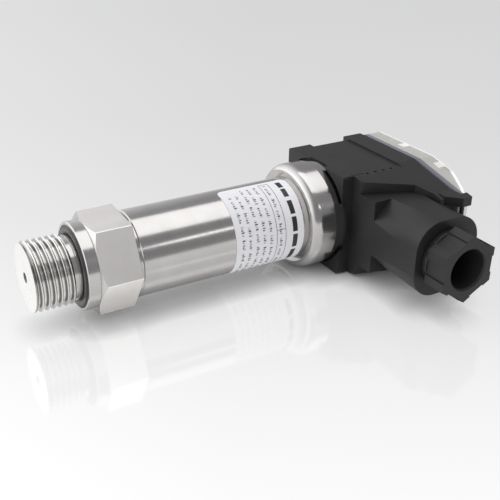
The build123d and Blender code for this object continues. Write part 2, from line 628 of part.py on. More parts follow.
# Housing of the cable socket, moulded in one piece with its cable boss and hinge ears
with BuildPart() as connector_housing:
    # Body with its slanted gusset over the boss, narrowed by the plan taper
    with BuildSketch(Plane.XZ):
        with BuildLine():
            Polyline(
                (BODY_FROM_X, HOUSING_FRONT + WALL),
                (BODY_FROM_X, HOUSING_REAR - WALL),
                (FLANGE_TO_X, HOUSING_REAR - WALL),
                (FLANGE_TO_X, HOUSING_FRONT + GUSSET_LIP),
                (GUSSET_TOP_X, HOUSING_FRONT + GUSSET_TOP),
                (GUSSET_FOOT_X, BOSS_FRONT_Z),
                (BASE_TO_X, BOSS_FRONT_Z),
                (BASE_TO_X, HOUSING_FRONT + WALL),
                close=True,
            )
        make_face()
    extrude(amount=BODY_HALF, both=True)
    with BuildSketch(Plane.XY.offset(HOUSING_FRONT)):
        plan_outline(BODY_FROM_X, FLANGE_TO_X, BODY_HALF)
    extrude(amount=HOUSING_HEIGHT, mode=Mode.INTERSECT)
    # Base flange around the head
    with BuildSketch(Plane.XY.offset(HOUSING_FRONT)):
        with Locations(((BASE_FROM_X + BASE_TO_X) / 2, 0)):
            RectangleRounded(BASE_TO_X - BASE_FROM_X, 2 * BASE_HALF, BASE_CORNER)
    extrude(amount=BASE_HEIGHT)
    # Rear flange that carries the lid
    with BuildSketch(Plane.XY.offset(HOUSING_FRONT + FLANGE_FLOOR)):
        plan_outline(FLANGE_FROM_X, FLANGE_TO_X, FLANGE_HALF)
    extrude(amount=HOUSING_HEIGHT - FLANGE_FLOOR)
    # Square root of the cable boss
    with BuildSketch(Plane.YZ.offset(CARRIER_HALF_X + WALL)):
        with Locations((0, (BOSS_FRONT_Z + BOSS_BACK_Z) / 2)):
            Rectangle(2 * BOSS_HALF, BOSS_BACK_Z - BOSS_FRONT_Z)
    extrude(amount=BOSS_SQUARE_X - CARRIER_HALF_X - WALL)
    # Boss with chamfered corners that turn into rounds at its end
    with BuildSketch(Plane.YZ.offset(BOSS_SQUARE_X)):
        with BuildLine():
            Polyline(
                (BOSS_CHAMFER - BOSS_HALF, BOSS_FRONT_Z),
                (BOSS_HALF - BOSS_CHAMFER, BOSS_FRONT_Z),
                (BOSS_HALF, BOSS_FRONT_Z + BOSS_CHAMFER),
                (BOSS_HALF, BOSS_BACK_Z - BOSS_CHAMFER),
                (BOSS_HALF - BOSS_CHAMFER, BOSS_BACK_Z),
                (BOSS_CHAMFER - BOSS_HALF, BOSS_BACK_Z),
                (-BOSS_HALF, BOSS_BACK_Z - BOSS_CHAMFER),
                (-BOSS_HALF, BOSS_FRONT_Z + BOSS_CHAMFER),
                close=True,
            )
        make_face()
    with BuildSketch(Plane.YZ.offset(BOSS_END_X)):
        with Locations((0, (BOSS_FRONT_Z + BOSS_BACK_Z) / 2)):
            RectangleRounded(2 * BOSS_HALF, BOSS_BACK_Z - BOSS_FRONT_Z, BOSS_ROUND)
    loft(ruled=True)
    # Pointed hinge ears
    for side in (1, -1):
        with BuildSketch(Plane.XZ.offset(side * (EAR_FROM_Y + EAR_THICKNESS / 2))):
            with BuildLine():
                Polyline(
                    (FLANGE_TO_X - EAR_ROOT, HOUSING_REAR),
                    (PIN_X - EAR_BACK, HOUSING_REAR),
                    (PIN_X - EAR_BACK, PIN_Z + EAR_RISE),
                    (PIN_X + EAR_REACH, PIN_Z + EAR_SHOULDER),
                    (PIN_X + EAR_REACH, PIN_Z - EAR_DROP),
                    (FLANGE_TO_X, HOUSING_FRONT + GUSSET_LIP),
                    (FLANGE_TO_X - EAR_ROOT, HOUSING_FRONT + GUSSET_LIP),
                    close=True,
                )
            make_face()
        extrude(amount=EAR_THICKNESS / 2, both=True)
    # Recess around the head, pocket of the contact carrier and wiring space
    with BuildSketch(Plane.XY.offset(HOUSING_FRONT)):
        Circle(RECESS_R)
    extrude(amount=RECESS_DEPTH, mode=Mode.SUBTRACT)
    with BuildSketch(Plane.XY.offset(GASKET_TOP)):
        Rectangle(2 * (CARRIER_HALF_X + CARRIER_FIT), 2 * (CARRIER_HALF_Y + CARRIER_FIT))
    extrude(amount=CARRIER_HEIGHT, mode=Mode.SUBTRACT)
    with BuildSketch(Plane.XY.offset(CARRIER_TOP)) as wiring_space:
        plan_outline(BODY_FROM_X + WALL, GUSSET_FOOT_X, BODY_HALF - WALL, WALL)
        fillet(wiring_space.vertices(), WALL / 2)
    extrude(amount=HOUSING_REAR - CARRIER_TOP, mode=Mode.SUBTRACT)
    entry_end = BOSS_SQUARE_X - WALL
    with BuildSketch(Plane.YZ.offset(GUSSET_FOOT_X - 2 * WALL)):
        with Locations((0, (BOSS_FRONT_Z + BOSS_BACK_Z) / 2)):
            Rectangle(2 * ENTRY_HALF, BOSS_BACK_Z - BOSS_FRONT_Z - 2 * WALL)
    extrude(amount=entry_end - GUSSET_FOOT_X + 2 * WALL, mode=Mode.SUBTRACT)
    # Passage and seat of the gland, and the bore of the hinge pin, closed in one ear
    with BuildSketch(Plane.YZ.offset(entry_end)):
        with Locations((0, GLAND_AXIS)):
            Circle(CABLE_PASSAGE_R)
    extrude(amount=SEAT_FROM_X - entry_end, mode=Mode.SUBTRACT)
    with BuildSketch(Plane.YZ.offset(SEAT_FROM_X)):
        with Locations((0, GLAND_AXIS)):
            Circle(GLAND_BORE_R)
    extrude(amount=BOSS_END_X - SEAT_FROM_X, mode=Mode.SUBTRACT)
    with BuildSketch(Plane.XZ.offset(EAR_OUTSIDE - EAR_COVER)):
        with Locations((PIN_X, PIN_Z)):
            Circle(PIN_R + PIN_EAR_FIT)
    extrude(amount=EAR_COVER - 2 * EAR_OUTSIDE, mode=Mode.SUBTRACT)
connector_housing.part.label = "connector_housing"
export_step(connector_housing.part, "parts/connector_housing.step")

# Contact carrier, pushed into the housing from the front, with a post for the locking screw
with BuildPart() as contact_carrier:
    with BuildSketch(Plane.XY.offset(GASKET_TOP)):
        Rectangle(2 * CARRIER_HALF_X, 2 * CARRIER_HALF_Y)
    extrude(amount=CARRIER_HEIGHT)
    with BuildSketch(Plane.XY.offset(GASKET_TOP)):
        Circle(CARRIER_POST_R)
    extrude(amount=CARRIER_POST_HEIGHT)
    with BuildSketch(Plane.XY.offset(GASKET_TOP + CONTACT_FLOOR)):
        with PolarLocations(BLADE_CIRCLE_R, 4):
            Rectangle(CONTACT_DEPTH + 2 * CONTACT_FIT, CONTACT_WIDTH + 2 * CONTACT_FIT)
    extrude(amount=CARRIER_HEIGHT - CONTACT_FLOOR, mode=Mode.SUBTRACT)
    with BuildSketch(Plane.XY.offset(GASKET_TOP)):
        with PolarLocations(BLADE_CIRCLE_R, 4):
            Rectangle(BLADE_THICKNESS + 2 * SLOT_FIT, BLADE_WIDTH + 2 * SLOT_FIT)
        Circle(SCREW_R + SCREW_CLEARANCE)
    extrude(amount=CARRIER_POST_HEIGHT, mode=Mode.SUBTRACT)
contact_carrier.part.label = "contact_carrier"
export_step(contact_carrier.part, "parts/contact_carrier.step")

# Contacts of the socket, each a sleeve around its blade with a terminal block above
with BuildPart() as socket_contacts:
    with BuildSketch(Plane.XY.offset(GASKET_TOP + CONTACT_FLOOR)):
        with PolarLocations(BLADE_CIRCLE_R, 4):
            Rectangle(CONTACT_DEPTH, CONTACT_WIDTH)
    extrude(amount=CARRIER_HEIGHT - CONTACT_FLOOR)
    with BuildSketch(Plane.XY.offset(CARRIER_TOP)):
        with PolarLocations(TERMINAL_CIRCLE_R, 4):
            Rectangle(TERMINAL_DEPTH, TERMINAL_WIDTH)
    extrude(amount=TERMINAL_HEIGHT)
    with BuildSketch(Plane.XY.offset(GASKET_TOP + CONTACT_FLOOR)):
        with PolarLocations(BLADE_CIRCLE_R, 4):
            Rectangle(BLADE_THICKNESS + CONTACT_FIT, BLADE_WIDTH + CONTACT_FIT)
    extrude(amount=CARRIER_HEIGHT - CONTACT_FLOOR, mode=Mode.SUBTRACT)
    with BuildSketch(Plane.XY.offset(CARRIER_TOP + TERMINAL_HEIGHT)):
        with PolarLocations(TERMINAL_CIRCLE_R, 4):
            Circle(TERMINAL_SCREW_R + SCREW_FIT)
    extrude(amount=-TERMINAL_SCREW_DEPTH, mode=Mode.SUBTRACT)
    for wire_plane in (Plane.XZ, Plane.YZ):
        with BuildSketch(wire_plane):
            with Locations((0, CARRIER_TOP + WIRE_HOLE_RISE)):
                Circle(WIRE_HOLE_R)
        extrude(amount=TERMINAL_CIRCLE_R + TERMINAL_DEPTH, both=True, mode=Mode.SUBTRACT)
socket_contacts.part.label = "socket_contacts"
export_step(socket_contacts.part, "parts/socket_contacts.step")

# Terminal screws, slotted
with BuildPart() as terminal_screws:
    with BuildSketch(Plane.XY.offset(CARRIER_TOP + TERMINAL_HEIGHT - TERMINAL_SCREW_DEPTH)):
        with PolarLocations(TERMINAL_CIRCLE_R, 4):
            Circle(TERMINAL_SCREW_R)
    extrude(amount=TERMINAL_SCREW_DEPTH)
    with BuildSketch(Plane.XY.offset(CARRIER_TOP + TERMINAL_HEIGHT)):
        with PolarLocations(TERMINAL_CIRCLE_R, 4):
            Circle(TERMINAL_HEAD_R)
    extrude(amount=TERMINAL_HEAD_HEIGHT)
    with BuildSketch(Plane.XY.offset(CARRIER_TOP + TERMINAL_HEIGHT + TERMINAL_HEAD_HEIGHT)):
        with PolarLocations(TERMINAL_CIRCLE_R, 4):
            Rectangle(SCREW_SLOT_WIDTH, 2 * TERMINAL_HEAD_R)
    extrude(amount=-TERMINAL_HEAD_HEIGHT / 2, mode=Mode.SUBTRACT)
terminal_screws.part.label = "terminal_screws"
export_step(terminal_screws.part, "parts/terminal_screws.step")

# Locking screw on its seal, through the carrier into the threaded insert
with BuildPart() as screw_seal:
    with BuildSketch(Plane.XY.offset(POST_TOP)):
        Circle(SCREW_SEAL_R)
        Circle(SCREW_R + SCREW_FIT, mode=Mode.SUBTRACT)
    extrude(amount=SCREW_SEAL_THICKNESS)
screw_seal.part.label = "screw_seal"
export_step(screw_seal.part, "parts/screw_seal.step")

SCREW_SEAT = POST_TOP + SCREW_SEAL_THICKNESS

with BuildPart() as locking_screw:
    with BuildSketch(Plane.XY.offset(HEAD_RIM - SCREW_REACH)):
        Circle(SCREW_R)
    extrude(amount=SCREW_SEAT - HEAD_RIM + SCREW_REACH)
    with BuildSketch(Plane.XY.offset(SCREW_SEAT)):
        Circle(SCREW_HEAD_R)
    extrude(amount=SCREW_HEAD_HEIGHT)
    with BuildSketch(Plane.XY.offset(SCREW_SEAT + SCREW_HEAD_HEIGHT)):
        Rectangle(2 * SCREW_HEAD_R, SCREW_SLOT_WIDTH)
    extrude(amount=-SCREW_SLOT_DEPTH, mode=Mode.SUBTRACT)
locking_screw.part.label = "locking_screw"
export_step(locking_screw.part, "parts/locking_screw.step")

# Gasket strip on the rear flange
with BuildPart() as lid_gasket:
    with BuildSketch(Plane.XY.offset(HOUSING_REAR)):
        plan_outline(
            FLANGE_FROM_X + LID_GASKET_INSET,
            LID_END_X - LID_GASKET_INSET,
            FLANGE_HALF - LID_GASKET_INSET,
            LID_GASKET_INSET,
        )
        offset(amount=-LID_GASKET_WIDTH, kind=Kind.INTERSECTION, mode=Mode.SUBTRACT)
    extrude(amount=LID_GASKET_THICKNESS)
lid_gasket.part.label = "lid_gasket"
export_step(lid_gasket.part, "parts/lid_gasket.step")

# Lid, a clear moulded shell with a rounded end, two ribs a side and a knuckle around the pin
with BuildPart() as rear_lid:
    with BuildSketch(Plane.XZ):
        with BuildLine():
            Polyline(
                (FLANGE_FROM_X + LID_INSET, LID_FLOOR),
                (FLANGE_FROM_X + LID_INSET, LID_TOP),
                (LID_SLOPE_X, LID_TOP),
                (LID_BEND_X, LID_TOP - LID_BEND_DROP),
                (LID_END_X, LID_TOP - LID_END_DROP),
                (LID_END_X, LID_FLOOR),
                close=True,
            )
        make_face()
    extrude(amount=FLANGE_HALF, both=True)
    with BuildSketch(Plane.XY.offset(LID_FLOOR)):
        plan_outline(FLANGE_FROM_X + LID_INSET, LID_END_X, FLANGE_HALF - LID_INSET, LID_INSET)
    extrude(amount=LID_HEIGHT, mode=Mode.INTERSECT)
    fillet(rear_lid.edges().filter_by(Axis.Z).group_by(Axis.X)[0], LID_CORNER)
    fillet(rear_lid.faces().sort_by(Axis.Z)[-1].edges(), LID_ROUND)
    offset(amount=-LID_WALL, openings=rear_lid.faces().sort_by(Axis.Z)[0])
    with BuildSketch(Plane.XZ):
        with BuildLine():
            Polyline(
                (LID_END_X - LID_WALL / 2, LID_FLOOR),
                (LID_END_X - LID_WALL / 2, LID_TOP - LID_END_DROP),
                (PIN_X, PIN_Z + KNUCKLE_R),
                (PIN_X, LID_FLOOR),
                close=True,
            )
        make_face()
        with Locations((PIN_X, PIN_Z)):
            Circle(KNUCKLE_R)
    extrude(amount=KNUCKLE_HALF, both=True)
    with BuildSketch(Plane.XZ):
        with Locations((PIN_X, PIN_Z)):
            Circle(PIN_R + PIN_LID_FIT)
    extrude(amount=KNUCKLE_HALF, both=True, mode=Mode.SUBTRACT)
    for rib_x in LID_RIB_PLACES:
        rib_face = min(FLANGE_HALF, flank(rib_x)) - LID_INSET - LID_WALL
        for side in (1, -1):
            with BuildSketch(Plane.XY.offset(LID_TOP - LID_WALL)):
                with Locations((rib_x, side * (rib_face - LID_RIB_DEPTH / 2 + LID_WALL / 4))):
                    Rectangle(LID_RIB_WIDTH, LID_RIB_DEPTH + LID_WALL / 2)
            extrude(amount=-LID_RIB_HEIGHT)
rear_lid.part.label = "rear_lid"
export_step(rear_lid.part, "parts/rear_lid.step")

with BuildPart() as hinge_pin:
    with BuildSketch(Plane.XZ.offset(EAR_OUTSIDE - EAR_COVER - PIN_END_GAP)):
        with Locations((PIN_X, PIN_Z)):
            Circle(PIN_R)
    extrude(amount=EAR_COVER + PIN_END_GAP - 2 * EAR_OUTSIDE)
hinge_pin.part.label = "hinge_pin"
export_step(hinge_pin.part, "parts/hinge_pin.step")

# Rubber grommet, washer and nut of the cable gland
GROMMET_END = SEAT_FROM_X + GROMMET_LENGTH
WASHER_FROM_X = GROMMET_END + GLAND_STACK_GAP
SHANK_FROM_X = WASHER_FROM_X + WASHER_THICKNESS + GLAND_STACK_GAP
NUT_ROOT_X = BOSS_END_X + GLAND_ROOT_GAP
HEX_ROOT_X = NUT_ROOT_X + GLAND_ROOT_LENGTH
NUT_END_X = HEX_ROOT_X + GLAND_HEX_LENGTH

with BuildPart() as cable_grommet:
    with BuildSketch(Plane.YZ.offset(SEAT_FROM_X)):
        with Locations((0, GLAND_AXIS)):
            Circle(GLAND_BORE_R - GROMMET_FIT)
            Circle(GROMMET_BORE_R, mode=Mode.SUBTRACT)
    extrude(amount=GROMMET_LENGTH)
cable_grommet.part.label = "cable_grommet"
export_step(cable_grommet.part, "parts/cable_grommet.step")

with BuildPart() as gland_washer:
    with BuildSketch(Plane.YZ.offset(WASHER_FROM_X)):
        with Locations((0, GLAND_AXIS)):
            Circle(GLAND_SHANK_R)
            Circle(WASHER_BORE_R, mode=Mode.SUBTRACT)
    extrude(amount=WASHER_THICKNESS)
gland_washer.part.label = "gland_washer"
export_step(gland_washer.part, "parts/gland_washer.step")

with BuildPart() as gland_nut:
    with BuildSketch(Plane.YZ.offset(SHANK_FROM_X)):
        with Locations((0, GLAND_AXIS)):
            Circle(GLAND_SHANK_R)
    extrude(amount=NUT_ROOT_X - SHANK_FROM_X)
    with BuildSketch(Plane.YZ.offset(NUT_ROOT_X)):
        with Locations((0, GLAND_AXIS)):
            Circle(GLAND_ROOT_R)
    extrude(amount=GLAND_ROOT_LENGTH)
    with BuildSketch(Plane.YZ.offset(HEX_ROOT_X)):
        with Locations((0, GLAND_AXIS)):
            RegularPolygon(GLAND_HEX_FLATS / 2, 6, major_radius=False, rotation=GLAND_HEX_TURN)
            with PolarLocations(GLAND_HEX_FLATS / 2, 6, start_angle=30 + GLAND_HEX_TURN):
                Rectangle(2 * GLAND_PANEL_DEPTH, GLAND_PANEL_WIDTH, mode=Mode.SUBTRACT)
    extrude(amount=GLAND_HEX_LENGTH)
    with BuildSketch(Plane.YZ.offset(SHANK_FROM_X)):
        with Locations((0, GLAND_AXIS)):
            Circle(GLAND_NUT_R)
    extrude(amount=NUT_END_X - SHANK_FROM_X, mode=Mode.SUBTRACT)
    chamfer(gland_nut.faces().sort_by(Axis.X)[-1].edges().filter_by(GeomType.CIRCLE), GLAND_MOUTH)
gland_nut.part.label = "gland_nut"
export_step(gland_nut.part, "parts/gland_nut.step")
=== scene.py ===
"""Looks of the pressure transmitter.

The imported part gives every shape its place. This script cuts the process thread, prints the label,
dresses each piece in its finish, and sets the part on a pale glossy floor.
"""

import logging
import math
from collections.abc import Mapping
from dataclasses import dataclass, field
from enum import Enum, IntEnum

import bmesh
import bpy
from mathutils import Matrix, Vector


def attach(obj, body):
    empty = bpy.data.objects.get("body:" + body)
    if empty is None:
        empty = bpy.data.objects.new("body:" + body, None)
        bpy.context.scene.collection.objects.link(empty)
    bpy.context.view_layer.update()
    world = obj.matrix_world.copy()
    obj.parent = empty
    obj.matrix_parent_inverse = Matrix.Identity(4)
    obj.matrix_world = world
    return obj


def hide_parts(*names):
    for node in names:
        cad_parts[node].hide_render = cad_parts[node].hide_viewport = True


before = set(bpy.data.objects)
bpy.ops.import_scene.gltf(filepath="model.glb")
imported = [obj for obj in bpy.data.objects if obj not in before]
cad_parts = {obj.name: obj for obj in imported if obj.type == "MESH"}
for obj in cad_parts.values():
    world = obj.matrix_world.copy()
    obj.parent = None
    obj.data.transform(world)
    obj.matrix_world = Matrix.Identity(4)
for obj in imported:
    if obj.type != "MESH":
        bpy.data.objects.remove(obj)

LOG = logging.getLogger("transmitter")
MM = 0.001
SEAM = 0.001 * MM
SHARP_ANGLE = math.radians(35)
ROUNDING_STEPS = 2
NOISE_LOW, NOISE_HIGH = 0.3, 0.7
FINE_DETAIL, BROAD_DETAIL = 3.0, 2.0
Colour = tuple[float, float, float]


class Body(str, Enum):
    """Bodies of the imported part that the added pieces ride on."""

    PROCESS = "process_side"
    SOCKET = "cable_socket"


class Slot(str, Enum):
    """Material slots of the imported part."""

    BRIGHT_STEEL = "bright_steel"
    PLATED_STEEL = "plated_steel"
    BLACK_NYLON = "black_nylon"
    CLEAR_PLASTIC = "clear_plastic"
    GREY_RUBBER = "grey_rubber"
    BLACK_RUBBER = "black_rubber"
    LABEL_FOIL = "label_foil"
    CELL_CERAMIC = "cell_ceramic"
    CARRIER_PLASTIC = "carrier_plastic"
    BOARD_LAMINATE = "board_laminate"
    COMPONENT_BLACK = "component_black"
    CONTACT_BRASS = "contact_brass"
    TINNED_BRASS = "tinned_brass"


class Pattern(Enum):
    """How the fine marks of a finish run over its surface."""

    GRAIN = "grain"
    TURNED = "turned"
    DRAWN = "drawn"


class PortFace(IntEnum):
    """Material indices of the faces of the threaded port."""

    TURNED = 0
    FLAT = 1
    THREAD = 2
    BORE = 3
    FACED = 4


class NodeGraph:
    """Node tree of one material or of the world, filled node by node."""

    def __init__(self, owner: bpy.types.Material | bpy.types.World) -> None:
        """Starts an empty tree.

        Args:
            owner: Material or world that gets the tree.
        """
        owner.use_nodes = True
        self.owner = owner
        self.tree = owner.node_tree
        self.tree.nodes.clear()

    @classmethod
    def material(cls, name: str) -> "NodeGraph":
        """Starts the tree of a new material of that name."""
        return cls(bpy.data.materials.new(name))

    def add(
        self, kind: str, inputs: Mapping[str | int, object] | None = None, **settings: object
    ) -> bpy.types.Node:
        """Adds a node.

        Args:
            kind: Blender's name of the node type.
            inputs: Value or source socket for each input, by name or index.
            **settings: Properties set on the node itself.

        Returns:
            The new node.
        """
        node = self.tree.nodes.new(kind)
        for name, value in settings.items():
            setattr(node, name, value)
        for name, value in (inputs or {}).items():
            if isinstance(value, bpy.types.NodeSocket):
                self.tree.links.new(value, node.inputs[name])
            else:
                node.inputs[name].default_value = value
        return node

    def ramp(self, factor: bpy.types.NodeSocket, stops: Mapping[float, Colour]) -> bpy.types.NodeSocket:
        """Adds a colour ramp.

        Args:
            factor: Socket that drives the ramp.
            stops: Colour at each position from 0 to 1.

        Returns:
            The ramp's colour output.
        """
        node = self.add("ShaderNodeValToRGB", {"Fac": factor})
        elements = node.color_ramp.elements
        while len(elements) < len(stops):
            elements.new(1.0)
        for element, (position, colour) in zip(elements, sorted(stops.items())):
            element.position = position
            element.color = (*colour, 1.0)
        return node.outputs["Color"]

    def spread(self, factor: bpy.types.NodeSocket, low: float, high: float) -> bpy.types.NodeSocket:
        """Maps the middle of a noise to a range.

        Args:
            factor: Noise socket.
            low: Result where the noise is low.
            high: Result where the noise is high.

        Returns:
            The mapped socket.
        """
        values = {
            "Value": factor,
            "From Min": NOISE_LOW,
            "From Max": NOISE_HIGH,
            "To Min": low,
            "To Max": high,
        }
        return self.add("ShaderNodeMapRange", values).outputs["Result"]

    def share(
        self, value: bpy.types.NodeSocket, start: float, end: float, clamp: bool = True
    ) -> bpy.types.NodeSocket:
        """Maps a range to 0 to 1; without the clamp it goes on past both ends."""
        values = {"Value": value, "From Min": start, "From Max": end}
        return self.add("ShaderNodeMapRange", values, clamp=clamp).outputs["Result"]

    def calculate(self, operation: str, *values: object) -> bpy.types.NodeSocket:
        """Works out one of Blender's math operations on one to three numbers or sockets."""
        node = self.add("ShaderNodeMath", dict(enumerate(values)), operation=operation)
        return node.outputs["Value"]

    def mix(
        self, factor: bpy.types.NodeSocket, low: object, high: object
    ) -> bpy.types.NodeSocket:
        """Mixes two colours.

        Args:
            factor: Share of the second colour.
            low: First colour, or its socket.
            high: Second colour, or its socket.

        Returns:
            The mixed colour.
        """
        low, high = (c if isinstance(c, bpy.types.NodeSocket) else (*c, 1.0) for c in (low, high))
        # Inputs 6 and 7 and output 2 of this node are the ones for colours
        node = self.add("ShaderNodeMix", {0: factor, 6: low, 7: high}, data_type="RGBA")
        return node.outputs[2]

    def blend(
        self, factor: object, first: bpy.types.NodeSocket, second: bpy.types.NodeSocket
    ) -> bpy.types.NodeSocket:
        """Mixes two shaders, where the factor is the share of the second one."""
        return self.add("ShaderNodeMixShader", {"Fac": factor, 1: first, 2: second}).outputs["Shader"]

    def scale(
        self, vector: bpy.types.NodeSocket, factor: bpy.types.NodeSocket
    ) -> bpy.types.NodeSocket:
        """Scales a colour or a vector and returns the result."""
        node = self.add("ShaderNodeVectorMath", {0: vector, "Scale": factor}, operation="SCALE")
        return node.outputs["Vector"]

    def place(self) -> bpy.types.NodeSocket:
        """Gives the place on the part."""
        return self.add("ShaderNodeTexCoord").outputs["Object"]

    def noise(
        self, place: bpy.types.NodeSocket, size: float, detail: float = FINE_DETAIL
    ) -> bpy.types.NodeSocket:
        """Adds a noise with grains of one size and finer layers on them."""
        values = {"Vector": place, "Scale": 1 / size, "Detail": detail}
        return self.add("ShaderNodeTexNoise", values).outputs["Fac"]

    def radius(self, point: bpy.types.Node) -> bpy.types.NodeSocket:
        """Finds the distance from the part's main axis.

        Args:
            point: Node with the parts of the place.

        Returns:
            The distance.
        """
        flat = {"X": point.outputs["X"], "Y": point.outputs["Y"]}
        level = self.add("ShaderNodeCombineXYZ", flat).outputs["Vector"]
        return self.add("ShaderNodeVectorMath", {"Vector": level}, operation="LENGTH").outputs["Value"]

    def close(self, shader: bpy.types.NodeSocket) -> bpy.types.Material:
        """Links the surface shader to the output and returns the material."""
        self.add("ShaderNodeOutputMaterial", {"Surface": shader})
        return self.owner


@dataclass(frozen=True)
class Finish:
    """Surface finish of one kind of piece, with its grain and its fine relief."""

    slot: Slot
    colour: Colour
    second: Colour
    roughness: float
    name: str = ""
    pattern: Pattern = Pattern.GRAIN
    metallic: float = 0.0
    roughness_spread: float = 0.05
    grain: float = 0.4 * MM
    relief: float = 0.004 * MM
    patch: float = 9 * MM
    ior: float = 1.5

    def marks(self, graph: NodeGraph) -> bpy.types.NodeSocket:
        """Places the fine marks of the finish.

        Args:
            graph: Tree of the material.

        Returns:
            Coordinate in which the marks are even.
        """
        place = graph.place()
        if self.pattern is Pattern.GRAIN:
            return place
        point = graph.add("ShaderNodeSeparateXYZ", {"Vector": place})
        if self.pattern is Pattern.DRAWN:
            even = {"X": point.outputs["X"], "Y": point.outputs["Y"]}
        else:
            even = {"X": graph.radius(point), "Z": point.outputs["Z"]}
        return graph.add("ShaderNodeCombineXYZ", even).outputs["Vector"]

    def build(self) -> bpy.types.Material:
        """Makes the material of the finish.

        Returns:
            The material.
        """
        graph = NodeGraph.material(self.name or self.slot.value)
        fine = graph.noise(self.marks(graph), self.grain)
        broad = graph.noise(graph.place(), self.patch, BROAD_DETAIL)
        bump = graph.add("ShaderNodeBump", {"Height": fine, "Distance": self.relief})
        smooth, rough = self.roughness - self.roughness_spread, self.roughness + self.roughness_spread
        shader = graph.add(
            "ShaderNodeBsdfPrincipled",
            {
                "Base Color": graph.ramp(broad, {NOISE_LOW: self.colour, NOISE_HIGH: self.second}),
                "Roughness": graph.spread(fine, smooth, rough),
                "Normal": bump.outputs["Normal"],
                "Metallic": self.metallic,
                "IOR": self.ior,
            },
        )
        return graph.close(shader.outputs["BSDF"])


@dataclass(frozen=True)
class RadialFinish:
    """Finish whose tone changes with the distance from the part's main axis."""

    name: str
    inner: float
    outer: float
    tones: Mapping[float, Colour]
    roughness: float
    metallic: float = 0.0
    grain: float = 0.6 * MM
    relief: float = 0.0001 * MM
    mottle: float = 0.06
    roughness_spread: float = 0.03

    def build(self) -> bpy.types.Material:
        """Makes the material of the finish.

        Returns:
            The material.
        """
        graph = NodeGraph.material(self.name)
        place = graph.place()
        point = graph.add("ShaderNodeSeparateXYZ", {"Vector": place})
        tone = graph.ramp(graph.share(graph.radius(point), self.inner, self.outer), self.tones)
        noise = graph.noise(place, self.grain)
        colour = graph.scale(tone, graph.spread(noise, 1 - self.mottle, 1 + self.mottle))
        bump = graph.add("ShaderNodeBump", {"Height": noise, "Distance": self.relief})
        smooth, rough = self.roughness - self.roughness_spread, self.roughness + self.roughness_spread
        shader = graph.add(
            "ShaderNodeBsdfPrincipled",
            {
                "Base Color": colour,
                "Roughness": graph.spread(noise, smooth, rough),
                "Normal": bump.outputs["Normal"],
                "Metallic": self.metallic,
            },
        )
        return graph.close(shader.outputs["BSDF"])


def wear(piece: bpy.types.Object, material: bpy.types.Material) -> None:
    """Gives a piece one material and reports it.

    Args:
        piece: Object to dress.
        material: Its only material.
    """
    piece.data.materials.clear()
    piece.data.materials.append(material)
    LOG.info("%s is dressed in %s", piece.name, material.name)


@dataclass
class Palette:
    """All finishes of the part, each made into a material once."""

    finishes: tuple[Finish, ...]
    made: dict[Slot, bpy.types.Material] = field(default_factory=dict)

    def __post_init__(self) -> None:
        """Builds the materials."""
        self.made = {finish.slot: finish.build() for finish in self.finishes}

    def dress(self, piece: bpy.types.Object, slot: Slot) -> None:
        """Gives a piece the material of one finish."""
        wear(piece, self.made[slot])

    def dress_nodes(self, slots: Mapping[str, Slot]) -> None:
        """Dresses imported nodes, each by its name."""
        for name, slot in slots.items():
            self.dress(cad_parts[name], slot)


def link(name: str, mesh: bpy.types.Mesh, body: Body) -> bpy.types.Object:
    """Puts a mesh into the scene as a piece that rides on a body.

    Args:
        name: Name of the new piece.
        mesh: Its mesh, in place.
        body: Body that carries it.

    Returns:
        The new piece.
    """
    piece = bpy.data.objects.new(name, mesh)
    bpy.context.scene.collection.objects.link(piece)
    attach(piece, body.value)
    LOG.info("%s rides on %s", name, body.value)
    return piece


def settle(mesh: bmesh.types.BMesh, name: str) -> bpy.types.Mesh:
    """Turns an edited mesh into mesh data and frees it.

    Args:
        mesh: Mesh that is done.
        name: Name of the data.

    Returns:
        The mesh data.
    """
    data = bpy.data.meshes.new(name)
    mesh.to_mesh(data)
    mesh.free()
    return data


def soften(piece: bpy.types.Object, width: float) -> None:
    """Rounds the sharp edges of a piece a little.

    Args:
        piece: Object with sharp edges.
        width: Width of the rounding in metres.
    """
    weld = piece.modifiers.new("weld", "WELD")
    weld.merge_threshold = SEAM
    bevel = piece.modifiers.new("edge", "BEVEL")
    bevel.width = width
    bevel.segments = ROUNDING_STEPS
    bevel.limit_method = "ANGLE"
    bevel.angle_limit = SHARP_ANGLE
    bevel.harden_normals = True


